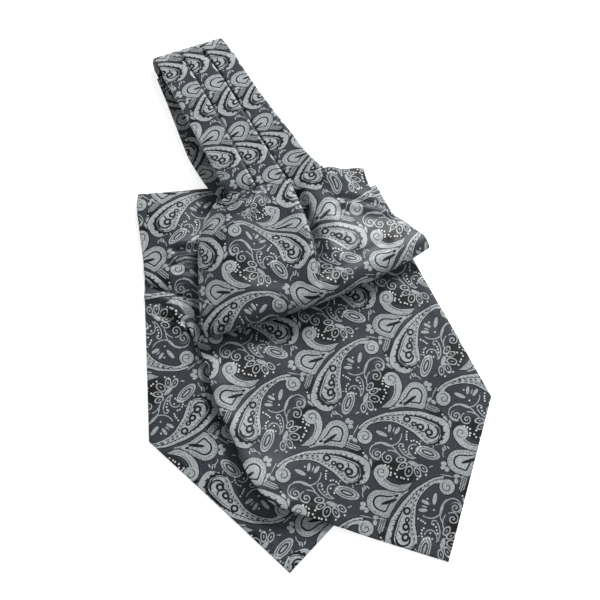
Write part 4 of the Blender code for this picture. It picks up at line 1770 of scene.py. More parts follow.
@dataclass
class PaisleyRepeat:
    """One repeat of the paisley jacquard, drawn in millimetres of flat cloth as a shader node group.

    Every second row is the mirror image of the one above, half a repeat further along.  The tables give each motif's
    place from the small hook's own head.
    """

    name: str = "paisley_repeat"
    width: float = REPEAT_ACROSS
    half_length: float = HALF_REPEAT
    mirror_at: float = 33.0
    motif_middles: Sequence[Pair] = ((3.0, 9.0), (9.3, 32.5), (20.0, 40.0))
    # Dark rim, dotted lines, and the lines that coil in the heads and scrolls.
    halo: float = 0.6
    dot_share: float = 0.27
    coil_line: float = 0.1
    coil_pitch: float = 0.6
    coil_reach: float = 0.74
    scroll_line: float = 0.19
    # Hook: a bent band between two curves round its centre, with a seam line and a fan of stripes.
    hook_centre: Pair = (10.0, 0.0)
    hook_head: Triple = (1.0, -0.4, 4.2)
    hook_dial: Dial = Dial(70.0, 208.0, 20.0)
    hook_wrap: Pair = (300.0, -60.0)
    hook_reach: Pair = (135.5, 64.5)
    hook_thinnest: float = 0.1
    hook_seam: Pair = (-0.56, 0.1)
    fan_until: float = 112.0
    fan_pitch: float = 0.25
    fan_line: float = 0.07
    fan_strength: float = 0.8
    hook_outer: Sequence[Pair] = (
        (71, 13.2), (82, 13.8), (93, 14.6), (116, 14.4), (143, 14.3), (157, 14.4), (168, 14.1), (182, 13.9),
        (196, 12.6), (204, 11.0))
    hook_inner: Sequence[Pair] = (
        (71, 13.2), (82, 12.0), (97, 11.1), (118, 10.6), (138, 10.1), (153, 9.6), (168, 9.0), (182, 8.7),
        (204, 11.0))
    # Doubled drop: rings, beads and a slit, in shares of its radius.
    drop_centre: Pair = (-7.0, 15.2)
    drop_dial: Dial = Dial(-180.0, 180.0, 24.0)
    drop_slit: Oval = Oval(-2.9, 16.2, 4.9, 1.0, 10.0)
    drop_ring: Pair = (0.56, 0.06)
    drop_rim: Pair = (0.93, 0.02)
    drop_rim_strength: float = 0.5
    bead_pitch: float = 6.5
    bead_half: float = 2.2
    bead_ring: Pair = (0.8, 0.05)
    bead_strength: float = 0.7
    drop_outer: Sequence[Pair] = (
        (-180, 8.1), (-158, 8.7), (-134, 8.8), (-98, 8.2), (-62, 7.3), (-30, 8.3), (-14, 10.8), (-6, 14.0),
        (-1, 17.4), (5, 13.6), (13, 10.5), (33, 7.7), (68, 7.1), (96, 8.6), (112, 7.9), (129, 7.1), (156, 7.5),
        (180, 8.1))
    # Cone: toothed channel under its outer edge, dashes and a thread over its inner one, stitches at its neck.
    cone_centre: Pair = (13.5, 36.5)
    cone_head: Triple = (31.1, 23.6, 4.4)
    cone_dial: Dial = Dial(30.0, 212.0, 40.0)
    cone_reach: Pair = (127.0, 82.0)
    bulb_from: float = 125.0
    bulb_run: float = 40.0
    band_width: Pair = (0.16, 0.75)
    tooth_pitch: float = 4.0
    tooth_slope: Pair = (-1.3, 1.6)
    tooth_most: Pair = (0.055, 0.1)
    channel_width: Pair = (1.5, 0.42)
    channel_until: float = 194.0
    channel_line: Pair = (0.95, 0.28)
    foot_inset: Pair = (0.07, 0.85)
    dash_pitch: float = 5.5
    dash_length: float = 3.2
    dash_half: float = 0.35
    dash_from: float = 64.0
    thread_at: Pair = (0.95, 0.18)
    thread_from: float = 95.0
    thread_strength: float = 0.8
    neck_half: float = 0.9
    neck_pitch: float = 5.0
    neck_length: float = 2.4
    neck_reach: Pair = (92.0, 22.0)
    cone_outer: Sequence[Pair] = (
        (34, 26.0), (42, 26.9), (52, 25.6), (61, 23.8), (74, 21.4), (90, 19.9), (105, 18.9), (121, 19.2), (137, 20.4),
        (151, 22.8), (163, 25.2), (173, 28.0), (180, 29.9), (185, 30.4), (191, 29.7), (198, 28.5), (205, 26.0),
        (208, 22.0), (211, 16.5))
    cone_inner: Sequence[Pair] = (
        (34, 22.5), (54, 21.8), (64, 19.6), (75, 17.1), (90, 14.4), (107, 12.0), (127, 9.9), (151, 9.2), (165, 9.5),
        (183, 10.3), (200, 12.4), (208, 15.0), (211, 16.5))
    # Small motifs by the hook (near) and by the cone's head (far).
    near_ovals: Sequence[Oval] = (
        Oval(-17.0, 11.0, 1.8, 1.2, 35.0),
        Oval(-18.4, 12.7, 1.6, 1.2, 0.0),
        Oval(-16.9, 14.8, 1.7, 1.2, -30.0),
        Oval(-13.4, 3.6, 1.3, 0.42, -72.0),
        Oval(-11.8, 3.0, 1.3, 0.42, -88.0),
        Oval(-10.2, 3.9, 1.2, 0.42, -112.0),
    )
    white_dots: Sequence[Pair] = (
        (4.6, -2.9), (5.9, -1.4), (6.8, 0.2), (5.6, 2.3), (4.7, 3.4), (7.4, 3.9), (7.5, 5.9), (9.6, 2.5), (9.6, 7.3),
        (10.8, 8.3), (12.9, 9.7), (17.9, 12.1), (20.2, 11.1), (23.5, 12.2))
    white_dot: float = 0.56
    far_ovals: Sequence[Oval] = (
        Oval(21.4, 26.4, 3.4, 1.15, -51.0),
        Oval(15.7, 25.7, 2.4, 0.95, 55.0),
        Oval(12.3, 28.9, 2.5, 1.0, 28.0),
        Oval(14.0, 27.5, 1.7, 0.35, 42.0),
        Oval(37.4, 23.0, 1.6, 1.1, -60.0),
        Oval(39.0, 20.5, 1.7, 1.1, 10.0),
        Oval(36.4, 35.2, 2.2, 1.2, 80.0),
        Oval(35.4, 39.0, 2.6, 0.9, 62.0),
        Oval(2.5, 48.2, 6.6, 3.0, -44.0, 0.32),
        Oval(2.5, 48.2, 4.7, 1.9, -44.0, 0.28),
        Oval(2.5, 48.2, 2.7, 0.6, -44.0),
        Oval(13.2, 50.1, 3.3, 1.25, -45.0),
    )
    bright_dots: Sequence[Pair] = (
        (17.7, 24.5), (17.9, 31.6), (36.4, 31.9), (7.5, 31.9), (8.6, 33.4), (9.3, 34.6), (9.8, 35.9), (7.8, 37.9),
        (6.4, 38.4), (5.2, 39.9), (4.6, 41.4), (4.8, 43.0), (6.4, 43.7), (8.0, 44.2), (9.2, 45.2), (13.9, 38.6),
        (14.3, 40.4), (13.9, 42.2), (13.5, 44.0), (9.8, 41.9))
    bright_dot: float = 0.5
    petal_line: float = 0.28
    pistil: Pair = (0.9, 0.3)
    # Dark areas between the motifs, one for each of their middles, and the stepped stripes.
    pools: Sequence[Oval] = (
        Oval(9.6, 2.0, 11.0, 6.0, 52.0),
        Oval(-14.2, 28.6, 6.4, 3.0, -45.0),
        Oval(32.2, 41.4, 5.4, 2.1, 0.0),
    )
    pool_fade: Pair = (-2.5, 3.1)
    steps_oval: Oval = Oval(-12.6, 25.6, 5.4, 2.0, -45.0)
    steps_height: float = 0.9
    steps_pitch: float = 0.85
    steps_line: float = 0.4
    petals: Sequence[Oval] = (
        Oval(18.6, 45.0, 2.6, 1.5, -25.0),
        Oval(19.4, 48.4, 2.7, 1.4, 2.0),
        Oval(17.7, 52.6, 2.9, 2.0, 40.0),
        Oval(13.3, 55.3, 2.8, 1.6, 92.0),
        Oval(9.2, 54.8, 2.6, 1.5, 115.0),
    )
    near_arcs: Sequence[Arc] = (
        Arc(28.4, 12.2, 3.1, -110.0, 70.0, 0.3),
        Arc(-12.0, 7.4, 3.2, 175.0, 275.0, 0.25),
        Arc(-6.0, 15.2, 7.1, -160.0, -60.0, 0.22, 1.5),
    )
    far_arcs: Sequence[Arc] = (
        Arc(17.3, 28.4, 7.2, 25.0, 155.0, 0.3),
        Arc(29.0, 40.0, 10.3, 178.0, 262.0, 0.3),
        Arc(28.4, 38.4, 8.1, 205.0, 275.0, 0.28),
        Arc(28.4, 34.9, 4.7, -80.0, 75.0, 0.3),
        Arc(28.7, 39.2, 9.0, 200.0, 268.0, 0.3, 1.1),
        Arc(25.4, 44.0, 7.6, 185.0, 250.0, 0.3),
        Arc(24.9, 40.2, 3.2, -100.0, 90.0, 0.3),
        Arc(9.1, 43.2, 3.2, 215.0, 380.0, 0.32),
        Arc(6.6, 43.6, 5.8, 0.0, 48.0, 0.3),
        Arc(14.6, 38.1, 1.5, 160.0, 360.0, 0.3),
        Arc(5.6, 38.9, 10.6, -2.0, 56.0, 0.32),
        Arc(2.2, 45.0, 4.6, 150.0, 290.0, 0.25),
    )
    streaks: Sequence[Oval] = (
        Oval(-11.0, 22.6, 3.6, 0.3, 29.0),
        Oval(-19.0, 18.3, 3.6, 0.3, 30.0),
        Oval(34.2, 17.9, 3.8, 0.3, 35.0),
    )
    scrolls: Sequence[Scroll] = (
        Scroll(29.4, 36.0, 3.2, 1.9, 1.0),
        Scroll(25.0, 40.9, 2.4, 1.9, 1.0),
    )
    curls: Sequence[Oval] = (
        Oval(3.9, 25.3, 1.75, 1.55, -30.0, 0.55),
        Oval(1.6, 29.8, 1.2, 1.0, -40.0, 0.45),
        Oval(-0.9, 32.8, 1.7, 1.4, -40.0, 0.6),
        Oval(-4.0, 37.8, 1.9, 1.6, -40.0, 0.65),
    )
    tails: Sequence[Arc] = (
        Arc(-2.7, 33.6, 3.0, -5.0, 190.0, 0.45),
        Arc(-5.6, 38.0, 3.9, 10.0, 205.0, 0.5),
        Arc(-4.6, 38.0, 7.3, 52.0, 178.0, 0.62),
        Arc(-4.6, 38.0, 8.2, 52.0, 150.0, 0.5, 3.2),
        Arc(-4.6, 38.0, 6.0, 60.0, 185.0, 0.2),
    )

    def fold(self, across: Wire, along: Wire, middle: Pair) -> Spot:
        """Bring any place of the cloth to the one copy of a motif that is nearest.

        Args:
            across: the place's across.
            along: its along.
            middle: middle of the area in which the motif lies.

        Returns:
            The same place, seen from that copy.
        """
        row = along.math("MULTIPLY_ADD", 1.0 / self.half_length, -middle[1] / self.half_length).math("ROUND")
        odd = row.math("PINGPONG", 1.0)
        mirrored = across.times_plus(odd.math("MULTIPLY_ADD", -2.0, 1.0), odd * self.mirror_at)
        half = self.width / 2
        wrapped = mirrored.math("WRAP", middle[0] + half, middle[0] - half)
        fallen = row.times_plus(-self.half_length, along)
        join = across.tree.nodes.new("ShaderNodeCombineXYZ")
        across.tree.links.new(wrapped.socket, join.inputs["X"])
        across.tree.links.new(fallen.socket, join.inputs["Y"])
        return Spot(wrapped, fallen, Wire(across.tree, join.outputs["Vector"]))

    def joined(self, masks: Sequence[Wire], operation: str = "MAXIMUM") -> Wire:
        """Join several values into one.

        Args:
            masks: the values.
            operation: math node's operation that joins two of them.

        Returns:
            The joined value.
        """
        drawn = masks[0]
        for mask in masks[1:]:
            drawn = drawn.math(operation, mask)
        return drawn

    def ovals(self, spot: Spot, table: Sequence[Oval]) -> Wire:
        """Draw a table of leaves, petals and rings.

        Args:
            spot: place on the repeat.
            table: the ovals, hollow ones drawn as outlines.

        Returns:
            Their mask.
        """
        full = [spot.oval(row) for row in table if not row.hollow]
        rings = [spot.oval(row).near(1.0, row.hollow / row.wide_half) for row in table if row.hollow]
        if full:
            rings.append(self.joined(full, "MINIMUM").below(1.0))
        return self.joined(rings)

    def arcs(self, spot: Spot, table: Sequence[Arc]) -> Wire:
        """Draw a table of thin and dotted curves.

        Args:
            spot: place on the repeat.
            table: the curves.

        Returns:
            Their mask.
        """
        drawn = []
        for row in table:
            middle, half = (row.first + row.last) / 2, (row.last - row.first) / 2
            radius, angle = spot.polar(row.across, row.along, middle)
            mask = radius.near(row.radius, row.half_width).both(angle.near(0.0, half))
            if row.dots:
                step = row.dots / row.radius * math.degrees(1.0)
                mask = mask.both(angle.math("PINGPONG", step / 2).below(step * self.dot_share))
            drawn.append(mask)
        return self.joined(drawn)

    def scroll(self, spot: Spot, row: Scroll) -> Wire:
        """Draw a small spiral.

        Args:
            spot: place on the repeat.
            row: the spiral.

        Returns:
            Its mask.
        """
        radius, angle = spot.polar(row.across, row.along)
        coil = radius.times_plus(1.0 / row.pitch, angle * (row.hand / 360.0)).math("FRACT")
        return coil.near(0.5, self.scroll_line).both(radius.below(row.radius))

    def head(self, spot: Spot, place: Triple, hand: float) -> tuple[Wire, Wire]:
        """Draw the coiled head of a hook or cone.

        Args:
            spot: place on the repeat.
            place: the head's across, along and radius.
            hand: 1 or -1, the way it coils.

        Returns:
            The distance from its centre, and a mask of the dark line that coils in it.
        """
        away, angle = spot.polar(*place[:2])
        coil = away.times_plus(1.0 / (place[2] * self.coil_pitch), angle * (hand / 360.0)).math("FRACT")
        return away, coil.near(0.5, self.coil_line).both(away.below(place[2] * self.coil_reach))

    def dots(self, spot: Spot, places: Sequence[Pair], half: float) -> Wire:
        """Draw small dots, each one a few threads wide."""
        away = [spot.place.vector("DISTANCE", (across, along, 0.0)) for across, along in places]
        return self.joined(away, "MINIMUM").below(half)

    def build(self) -> bpy.types.NodeTree:
        """Draw the repeat.

        Returns:
            The node group: Motif is 1 on silver, Dark on near-black, and Bright on the white dots.
        """
        known = bpy.data.node_groups.get(self.name)
        if known:
            return known
        drawing = Drawing(self.name)
        near, middle, far = (self.fold(drawing.across, drawing.along, spot) for spot in self.motif_middles)
        hook, hook_edge = self.hook(near)
        drop, drop_edge = self.drop(near)
        cone, cone_edge = self.cone(middle)
        steps, steps_edge = self.steps(middle)
        petals = self.ovals(far, [row._replace(hollow=self.petal_line) for row in self.petals])
        pistils = self.ovals(far, [row._replace(long_half=self.pistil[0], wide_half=self.pistil[1])
                                   for row in self.petals])
        lines = petals.either(self.arcs(far, self.far_arcs)).either(self.arcs(near, self.near_arcs))
        lines = lines.either(self.ovals(middle, self.streaks))
        for row in self.scrolls:
            lines = lines.either(self.scroll(far, row))
        dots = self.dots(near, self.white_dots, self.white_dot).either(
            self.dots(far, self.bright_dots, self.bright_dot))
        small = self.ovals(near, self.near_ovals).either(self.ovals(far, self.far_ovals)).either(pistils)
        pools = [spot.oval(row) for spot, row in zip((near, middle, far), self.pools)]
        pool = self.joined(pools, "MINIMUM").math("MULTIPLY_ADD", *self.pool_fade, limit=True)
        dark = pool.either(hook_edge).either(drop_edge).either(cone_edge).either(steps_edge)
        motif = small.either(lines).either(steps).without(drop_edge).either(drop)
        motif = motif.without(hook_edge).either(hook).without(cone_edge).either(cone).either(dots)
        return drawing.put_out({"Motif": motif, "Dark": dark.without(motif), "Bright": dots})

    def hook(self, spot: Spot) -> tuple[Wire, Wire]:
        """Draw the hook whose head is the repeat's origin.

        Args:
            spot: place on the repeat.

        Returns:
            Masks of its silver and of the dark area that it stands on.
        """
        radius, angle = spot.polar(*self.hook_centre)
        turned = angle.math("WRAP", *self.hook_wrap)
        outer = turned.curve(self.hook_dial, self.hook_outer)
        inner = turned.curve(self.hook_dial, self.hook_inner)
        width = (outer - inner) * 0.5
        middle = (outer + inner) * 0.5
        reach = turned.near(*self.hook_reach)
        body = radius.near(middle, width).both(reach)
        edge = radius.near(middle, width + self.halo).both(reach)
        share = (radius - middle).math("DIVIDE", width.math("MAXIMUM", self.hook_thinnest))
        seam = share.near(*self.hook_seam).both(turned.above(self.fan_until))
        fan = share.math("PINGPONG", self.fan_pitch).below(self.fan_line).both(
            turned.below(self.fan_until)) * self.fan_strength
        away, coil = self.head(spot, self.hook_head, 1.0)
        round_head = away.below(self.hook_head[2])
        silver = body.without(seam.either(fan)).either(round_head).without(coil)
        return silver, edge.either(away.below(self.hook_head[2] + self.halo))

    def drop(self, spot: Spot) -> tuple[Wire, Wire]:
        """Draw the doubled drop beside the hook.

        Args:
            spot: place on the repeat.

        Returns:
            Masks of its silver and of the dark area that it stands on.
        """
        radius, angle = spot.polar(*self.drop_centre)
        outer = angle.curve(self.drop_dial, self.drop_outer)
        share = radius.math("DIVIDE", outer)
        slit = spot.oval(self.drop_slit).below(1.0)
        beads = angle.math("PINGPONG", self.bead_pitch).below(self.bead_half).both(
            share.near(*self.bead_ring)) * self.bead_strength
        rim = share.near(*self.drop_rim) * self.drop_rim_strength
        cut = share.near(*self.drop_ring).either(slit).either(beads).either(rim)
        return share.below(1.0).without(cut), radius.below(outer + self.halo)

    def cone(self, spot: Spot) -> tuple[Wire, Wire]:
        """Draw the large curved cone, with its toothed band and curls.

        Args:
            spot: place on the repeat.

        Returns:
            Masks of its silver and of the dark area that it stands on.
        """
        radius, angle = spot.polar(*self.cone_centre)
        turned = (angle * -1.0).math("WRAP", 360.0, 0.0)
        outer = turned.curve(self.cone_dial, self.cone_outer)
        inner = turned.curve(self.cone_dial, self.cone_inner)
        depth, rise, width = outer - radius, radius - inner, outer - inner
        inside, reach = depth.both(rise), turned.near(*self.cone_reach)
        body, edge = inside.above(0.0).both(reach), inside.above(-self.halo).both(reach)
        bulb = turned.math("MULTIPLY_ADD", 1.0 / self.bulb_run, -self.bulb_from / self.bulb_run, limit=True)
        band = width.math("MULTIPLY_ADD", *self.band_width)
        tooth = turned.math("PINGPONG", self.tooth_pitch).math("MULTIPLY_ADD", *self.tooth_slope)
        tooth = tooth.math("MAXIMUM", 0.0).both(width.math("MULTIPLY_ADD", *self.tooth_most))
        far_side = bulb.math("MULTIPLY_ADD", *self.channel_width) + band
        channel = depth.above(band - tooth).both(depth.below(far_side)).both(turned.below(self.channel_until))
        line = (depth - far_side).near(*self.channel_line).both(bulb)
        foot = rise - width.math("MULTIPLY_ADD", *self.foot_inset)
        notch = turned.math("PINGPONG", self.dash_pitch).below(self.dash_length).both(turned.above(self.dash_from))
        dashes = foot.near(0.0, self.dash_half).both(notch)
        thread = foot.near(*self.thread_at).both(turned.above(self.thread_from)) * self.thread_strength
        stitches = turned.math("PINGPONG", self.neck_pitch).below(self.neck_length)
        neck = (depth - rise).near(0.0, self.neck_half).both(stitches).both(turned.near(*self.neck_reach))
        curls = self.ovals(spot, self.curls).either(self.arcs(spot, self.tails))
        cut = self.joined((channel, line, dashes, thread, neck, curls))
        away, coil = self.head(spot, self.cone_head, -1.0)
        silver = body.without(cut).either(away.below(self.cone_head[2])).without(coil)
        return silver, edge.either(away.below(self.cone_head[2] + self.halo))

    def steps(self, spot: Spot) -> tuple[Wire, Wire]:
        """Draw the stepped stripes beside the cone.

        Args:
            spot: place on the repeat.

        Returns:
            Masks of their silver and of the dark area that they stand on.
        """
        inside = spot.oval(self.steps_oval).below(1.0)
        zigzag = (spot.across - spot.along).math("PINGPONG", 1.0).times_plus(
            self.steps_height, spot.across + spot.along)
        return zigzag.math("PINGPONG", self.steps_pitch).below(self.steps_line).both(inside), inside


@dataclass
class SilkWeave:
    """Fine weave of the silk, as a shader node group: its height, the flecks of its threads and slow shading."""

    name: str = "silk_weave"
    pitch: float = 0.5
    rib_share: float = 0.4
    fleck: float = 1.3
    fleck_stretch: float = 1.6
    tone: float = 0.05
    detail: float = 2.0

    def noise(self, tree: bpy.types.NodeTree, across: Wire, along: Wire, scale: float, stretch: float) -> Wire:
        """Make soft noise over the cloth, drawn out across it.

        Args:
            tree: the node group.
            across: place across the cloth.
            along: place along it.
            scale: patches for each millimetre.
            stretch: how much longer they are across.

        Returns:
            The noise, from 0 to 1.
        """
        place_on = tree.nodes.new("ShaderNodeCombineXYZ")
        tree.links.new((across * (1.0 / stretch)).socket, place_on.inputs["X"])
        tree.links.new(along.socket, place_on.inputs["Y"])
        noise = tree.nodes.new("ShaderNodeTexNoise")
        noise.inputs["Scale"].default_value = scale
        noise.inputs["Detail"].default_value = self.detail
        tree.links.new(place_on.outputs["Vector"], noise.inputs["Vector"])
        return Wire(tree, noise.outputs["Fac"])

    def build(self) -> bpy.types.NodeTree:
        """Draw the weave.

        Returns:
            The node group.
        """
        known = bpy.data.node_groups.get(self.name)
        if known:
            return known
        drawing = Drawing(self.name)
        tree, across, along = drawing.tree, drawing.across, drawing.along
        turn = 2.0 * math.pi / self.pitch
        ribs = (along * turn).math("SINE")
        twill = (across + along).math("MULTIPLY", turn * 0.5).math("SINE")
        return drawing.put_out({
            "Height": ribs.times_plus(self.rib_share, twill * (1.0 - self.rib_share)),
            "Fleck": self.noise(tree, across, along, self.fleck, self.fleck_stretch),
            "Tone": self.noise(tree, across, along, self.tone, 1.0),
        })


@dataclass(frozen=True)
class SilkFinish:
    """Paisley jacquard in silk: silver motifs and near-black hollows on a slate ground."""

    name: str
    ground: Triple = (0.027, 0.031, 0.039)
    hollow: Triple = (0.004, 0.004, 0.005)
    motif: Triple = (0.27, 0.29, 0.30)
    bright: Triple = (0.46, 0.48, 0.48)
    roughness: float = 0.42
    motif_polish: float = 0.1
    sheen: float = 0.03
    sheen_roughness: float = 0.4
    shine: float = 0.22
    fleck_range: Pair = (1.9, 0.05)
    tone_range: Pair = (0.5, 0.75)
    bump_strength: float = 0.3
    bump_height: float = 0.08

    def mix(self, tree: bpy.types.NodeTree, mask: bpy.types.NodeSocket, under: bpy.types.NodeSocket | tuple,
            over: Triple) -> bpy.types.NodeSocket:
        """Lay one colour over another.

        Args:
            tree: the material's nodes.
            mask: share of the upper colour.
            under: the lower colour.
            over: the upper colour.

        Returns:
            The mixed colour.
        """
        node = tree.nodes.new("ShaderNodeMix")
        node.data_type = "RGBA"
        tree.links.new(mask, node.inputs["Factor"])
        if isinstance(under, tuple):
            node.inputs["A"].default_value = (*under, 1.0)
        else:
            tree.links.new(under, node.inputs["A"])
        node.inputs["B"].default_value = (*over, 1.0)
        return node.outputs["Result"]

    def material(self) -> bpy.types.Material:
        """Make the silk, or hand back the one that was made before.

        Returns:
            The material.
        """
        known = bpy.data.materials.get(self.name)
        if known:
            return known
        silk = bpy.data.materials.new(self.name)
        silk.use_nodes = True
        tree = silk.node_tree
        shader = tree.nodes["Principled BSDF"]
        cloth = tree.nodes.new("ShaderNodeUVMap")
        cloth.uv_map = CHART
        scale = tree.nodes.new("ShaderNodeVectorMath")
        scale.operation = "SCALE"
        scale.inputs["Scale"].default_value = 1.0 / MM
        tree.links.new(cloth.outputs["UV"], scale.inputs[0])
        split = tree.nodes.new("ShaderNodeSeparateXYZ")
        tree.links.new(scale.outputs["Vector"], split.inputs["Vector"])
        repeat = tree.nodes.new("ShaderNodeGroup")
        repeat.node_tree = PaisleyRepeat().build()
        weave = tree.nodes.new("ShaderNodeGroup")
        weave.node_tree = SilkWeave().build()
        for group in (repeat, weave):
            tree.links.new(split.outputs["X"], group.inputs["Across"])
            tree.links.new(split.outputs["Y"], group.inputs["Along"])
        colour = self.ground
        for label, over in (("Dark", self.hollow), ("Motif", self.motif), ("Bright", self.bright)):
            colour = self.mix(tree, repeat.outputs[label], colour, over)
        fleck = Wire(tree, weave.outputs["Fleck"]).math("MULTIPLY_ADD", *self.fleck_range)
        tone = Wire(tree, weave.outputs["Tone"]).math("MULTIPLY_ADD", *self.tone_range) * fleck
        shade = tree.nodes.new("ShaderNodeMix")
        shade.data_type = "RGBA"
        shade.blend_type = "MULTIPLY"
        shade.inputs["Factor"].default_value = 1.0
        tree.links.new(colour, shade.inputs["A"])
        tree.links.new(tone.socket, shade.inputs["B"])
        tree.links.new(shade.outputs["Result"], shader.inputs["Base Color"])
        rough = Wire(tree, repeat.outputs["Motif"]).math("MULTIPLY_ADD", -self.motif_polish, self.roughness)
        tree.links.new(rough.socket, shader.inputs["Roughness"])
        bump = tree.nodes.new("ShaderNodeBump")
        bump.inputs["Strength"].default_value = self.bump_strength
        bump.inputs["Distance"].default_value = self.bump_height * MM
        tree.links.new(weave.outputs["Height"], bump.inputs["Height"])
        tree.links.new(bump.outputs["Normal"], shader.inputs["Normal"])
        shader.inputs["Specular IOR Level"].default_value = self.shine
        shader.inputs["Sheen Weight"].default_value = self.sheen
        shader.inputs["Sheen Roughness"].default_value = self.sheen_roughness
        return silk


@dataclass
class Heap(Stretch):
    """Hidden layers under the puff, whose folded edges show as a stack at its sides."""

    flat: Frame = FRONT
    lie: Lie = Lie.FOLDED
    cut: Pair = (105.0, 88.0)
    rests_on: Sequence[str] = ("floor",)
    first_share: float = 0.12
    last_share: float = 0.8
    left_parts: Pair = (0.14, 0.97)
    right_parts: Pair = (0.05, 0.7)
    row_count: int = 26
    panel_columns: int = 24
    drop: float = 1.6
    layers: int = 4
    layer_steps: int = 8
    bulge: float = 1.3
    bulge_curve: float = 0.6
    first_step: float = 0.2
    foot_z: float = 0.25

    def heap(self, puff: Puff, repeat: ClothMap, silk: "SilkFinish") -> Piece:
        """Stack the layers up to the puff's underside.

        Args:
            puff: the stretch that lies over them.
            repeat: where the woven repeat lies on their edges.
            silk: its finish.

        Returns:
            The finished piece.
        """
        shares = np.linspace(self.first_share, self.last_share, self.row_count)[:, None]
        left, right = (puff.panel(is_left, np.linspace(*parts, self.panel_columns)[None, :], shares)
                       for is_left, parts in ((True, self.left_parts), (False, self.right_parts)))
        across, along, z = (np.concatenate([left[i], right[i]], axis=1) for i in range(3))
        top = place(self.flat, across, along, z - self.drop)
        rows, columns = top.shape[:2]
        edge = np.concatenate([top[:, 0], top[-1, 1:], top[-2::-1, -1], top[0, -2:0:-1]])
        centre = edge[:, :2].mean(axis=0)
        piece = add_grid("folded_layers_silk", top)
        bpy.ops.object.mode_set(mode="EDIT")
        bpy.ops.mesh.select_all(action="SELECT")
        bpy.ops.mesh.region_to_loop()
        steps = self.layers * self.layer_steps
        for _ in range(steps):
            bpy.ops.mesh.extrude_region_move(TRANSFORM_OT_translate={"value": (0.0, 0.0, -self.first_step * MM)})
        bpy.ops.mesh.edge_face_add()
        bpy.ops.object.mode_set(mode="OBJECT")
        mesh = piece.data
        points = np.zeros(len(mesh.vertices) * 3, np.float32)
        mesh.vertices.foreach_get("co", points)
        points = points.reshape(-1, 3)
        count = rows * columns
        start = points[:count]
        for step in range(1, steps + 1):
            loop = points[count + (step - 1) * len(edge):count + step * len(edge)]
            match = np.array([np.argmin(((start[:, :2] - spot[:2]) ** 2).sum(axis=1)) for spot in loop])
            base = start[match]
            away = base[:, :2] - centre * MM
            away /= np.linalg.norm(away, axis=1)[:, None]
            share = 1.0 - step / steps
            swell = self.bulge * abs(math.sin(math.pi * self.layers * share)) ** self.bulge_curve
            loop[:, :2] = base[:, :2] + away * swell * MM
            loop[:, 2] = np.maximum(base[:, 2] * share, self.foot_z * MM)
        mesh.vertices.foreach_set("co", points.ravel())
        spots = points[list_corners(mesh)] / MM
        a, b = measure(self.flat, spots[:, 0], spots[:, 1])
        lay_chart(mesh, repeat.read(a, b + spots[:, 2]))
        bpy.ops.object.shade_smooth()
        return self.hand_over(piece, "folded_layers", silk)


class Lamp(NamedTuple):
    """Soft square light: its place and side in metres, and its power in watts."""

    name: str
    spot: Triple
    side: float
    power: float


@dataclass
class Studio:
    """Pale floor, soft lights and the camera."""

    target: Pair = (-4.5, -13.0)
    elevation: float = 69.0
    distance: float = 560.0
    focal: float = 900.0
    frame_width: float = 600.0
    sensor: float = 36.0
    clip: Pair = (0.01, 20.0)
    floor_side: float = 6.0
    floor_drop: float = 0.0002
    floor_grey: float = 0.9
    floor_roughness: float = 0.9
    floor_glow: float = 0.6
    world_light: float = 0.4
    lamps: Sequence[Lamp] = (
        Lamp("key", (0.4, 1.0, 0.9), 0.4, 29.0),
        Lamp("fill_left", (-1.1, 0.3, 1.1), 1.0, 1.0),
        Lamp("fill_right", (1.0, -0.7, 1.2), 1.0, 3.5),
    )

    def floor(self) -> None:
        """Lay a pale floor under the cravat."""
        bpy.ops.object.select_all(action="DESELECT")
        bpy.ops.mesh.primitive_plane_add(size=self.floor_side, location=(0.0, 0.0, -self.floor_drop))
        plane = bpy.context.object
        plane.name = "floor"
        paint = bpy.data.materials.new("pale_floor")
        paint.use_nodes = True
        shader = paint.node_tree.nodes["Principled BSDF"]
        shader.inputs["Base Color"].default_value = (*(self.floor_grey,) * 3, 1.0)
        shader.inputs["Roughness"].default_value = self.floor_roughness
        shader.inputs["Emission Color"].default_value = (1.0, 1.0, 1.0, 1.0)
        shader.inputs["Emission Strength"].default_value = self.floor_glow
        plane.data.materials.append(paint)

    def light(self, row: Lamp) -> None:
        """Hang one soft square light that faces the cravat.

        Args:
            row: the light.
        """
        bpy.ops.object.light_add(type="AREA", location=row.spot)
        lamp = bpy.context.object
        lamp.name = row.name
        lamp.data.shape = "SQUARE"
        lamp.data.size = row.side
        lamp.data.energy = row.power
        lamp.rotation_euler = (-Vector(row.spot)).to_track_quat("-Z", "Y").to_euler()

    def lights(self) -> None:
        """Light the cravat softly from above its top fold, with a fill from each side."""
        for row in self.lamps:
            self.light(row)
        bpy.context.scene.view_settings.view_transform = "Standard"
        world = bpy.data.worlds.new("studio")
        bpy.context.scene.world = world
        world.use_nodes = True
        backdrop = world.node_tree.nodes["Background"]
        backdrop.inputs["Color"].default_value = (1.0, 1.0, 1.0, 1.0)
        backdrop.inputs["Strength"].default_value = self.world_light

    def camera(self) -> None:
        """Set the camera up at its angle to the surface."""
        angle = math.radians(self.elevation)
        back = Vector((0.0, -math.cos(angle), math.sin(angle)))
        spot = Vector((*self.target, 0.0)) * MM + back * self.distance * MM
        bpy.ops.object.camera_add(location=spot)
        camera = bpy.context.object
        camera.rotation_mode = "QUATERNION"
        camera.rotation_quaternion = (-back).to_track_quat("-Z", "Y")
        camera.data.sensor_width = self.sensor
        camera.data.lens = self.sensor * self.focal / self.frame_width
        camera.data.clip_start, camera.data.clip_end = self.clip
        bpy.context.scene.camera = camera


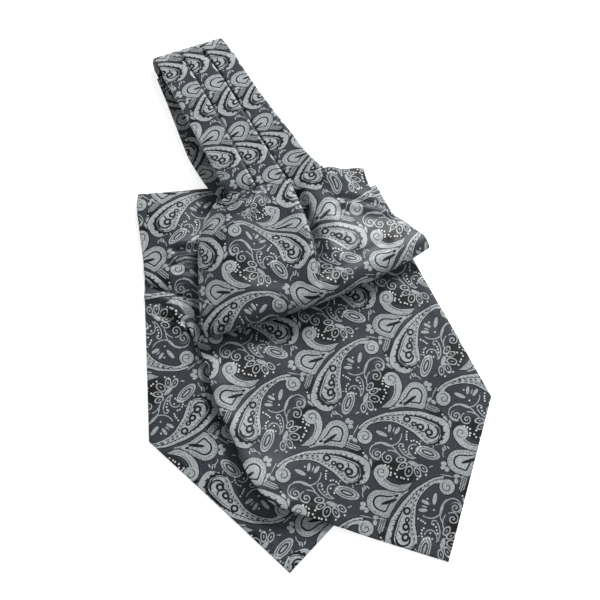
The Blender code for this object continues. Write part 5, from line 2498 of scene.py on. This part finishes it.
FRONT_MAP = ClothMap(Anchor(-15.3, 34.2, 0.0, 0.0), turn=-1.2)
BACK_MAP = ClothMap(Anchor(-74.2, 116.7, 0.0, 0.0), turn=180.0)
FLAP_MAP = ClothMap(Anchor(-82.2, -80.5, 0.0, 0.0))
LEFT_PANEL_MAP = ClothMap(
    Anchor(-41.4, -18.6, 1.7, -2.0), turn=24.0,
    anchors=(
        Anchor(-41.4, -18.6, 2.4, -2.2),
        Anchor(-25.0, 15.7, 31.2, 22.0),
        Anchor(-30.0, -40.7, 0.8, -23.2),
        Anchor(-5.7, -42.1, 34.0, -50.4),
        Anchor(5.7, 1.4, 54.5, -1.6),
        Anchor(-0.7, -12.9, 39.4, -13.0),
        Anchor(-30.0, -8.6, 16.2, 2.4),
    ))
RIGHT_PANEL_MAP = ClothMap(Anchor(47.9, -1.4, 106.0, 0.0), turn=-11.5)
PLEAT_MAPS = (
    ClothMap(Anchor(-5.0, -148.5, -8.5, 15.8), squeeze_along=1.166),
    ClothMap(Anchor(10.7, -145.7, -8.5, 15.8), squeeze_along=1.08, tighten=0.0006),
    ClothMap(Anchor(27.1, -140.0, -8.5, 15.8), squeeze_along=1.166, tighten=0.0018),
)
UNDER_MAP = ClothMap(Anchor(-22.0, -96.0, -8.5, 15.8), turn=180.0)


def main() -> None:
    """Build the cravat's stretches and the studio round them."""
    silk = SilkFinish("paisley_silk")
    back = BackBlade()
    back.end(BACK_MAP, silk)
    BackBladeTurn().turn(FLAP_MAP, silk)
    front = FrontBlade()
    front.end(back, FRONT_MAP, silk)
    FrontBladeTurn().turn(RIGHT_PANEL_MAP, silk)
    band = Neckband()
    puff = Puff()
    puff.puff(LEFT_PANEL_MAP, RIGHT_PANEL_MAP, PLEAT_MAPS, band, silk)
    Heap().heap(puff, LEFT_PANEL_MAP, silk)
    for index, repeat in enumerate(PLEAT_MAPS):
        band.pleat(index, repeat, silk)
    band.turn(PLEAT_MAPS, silk)
    band.under_run(UNDER_MAP, silk)
    studio = Studio()
    studio.floor()
    studio.lights()
    studio.camera()


if __name__ == "__main__":
    main()
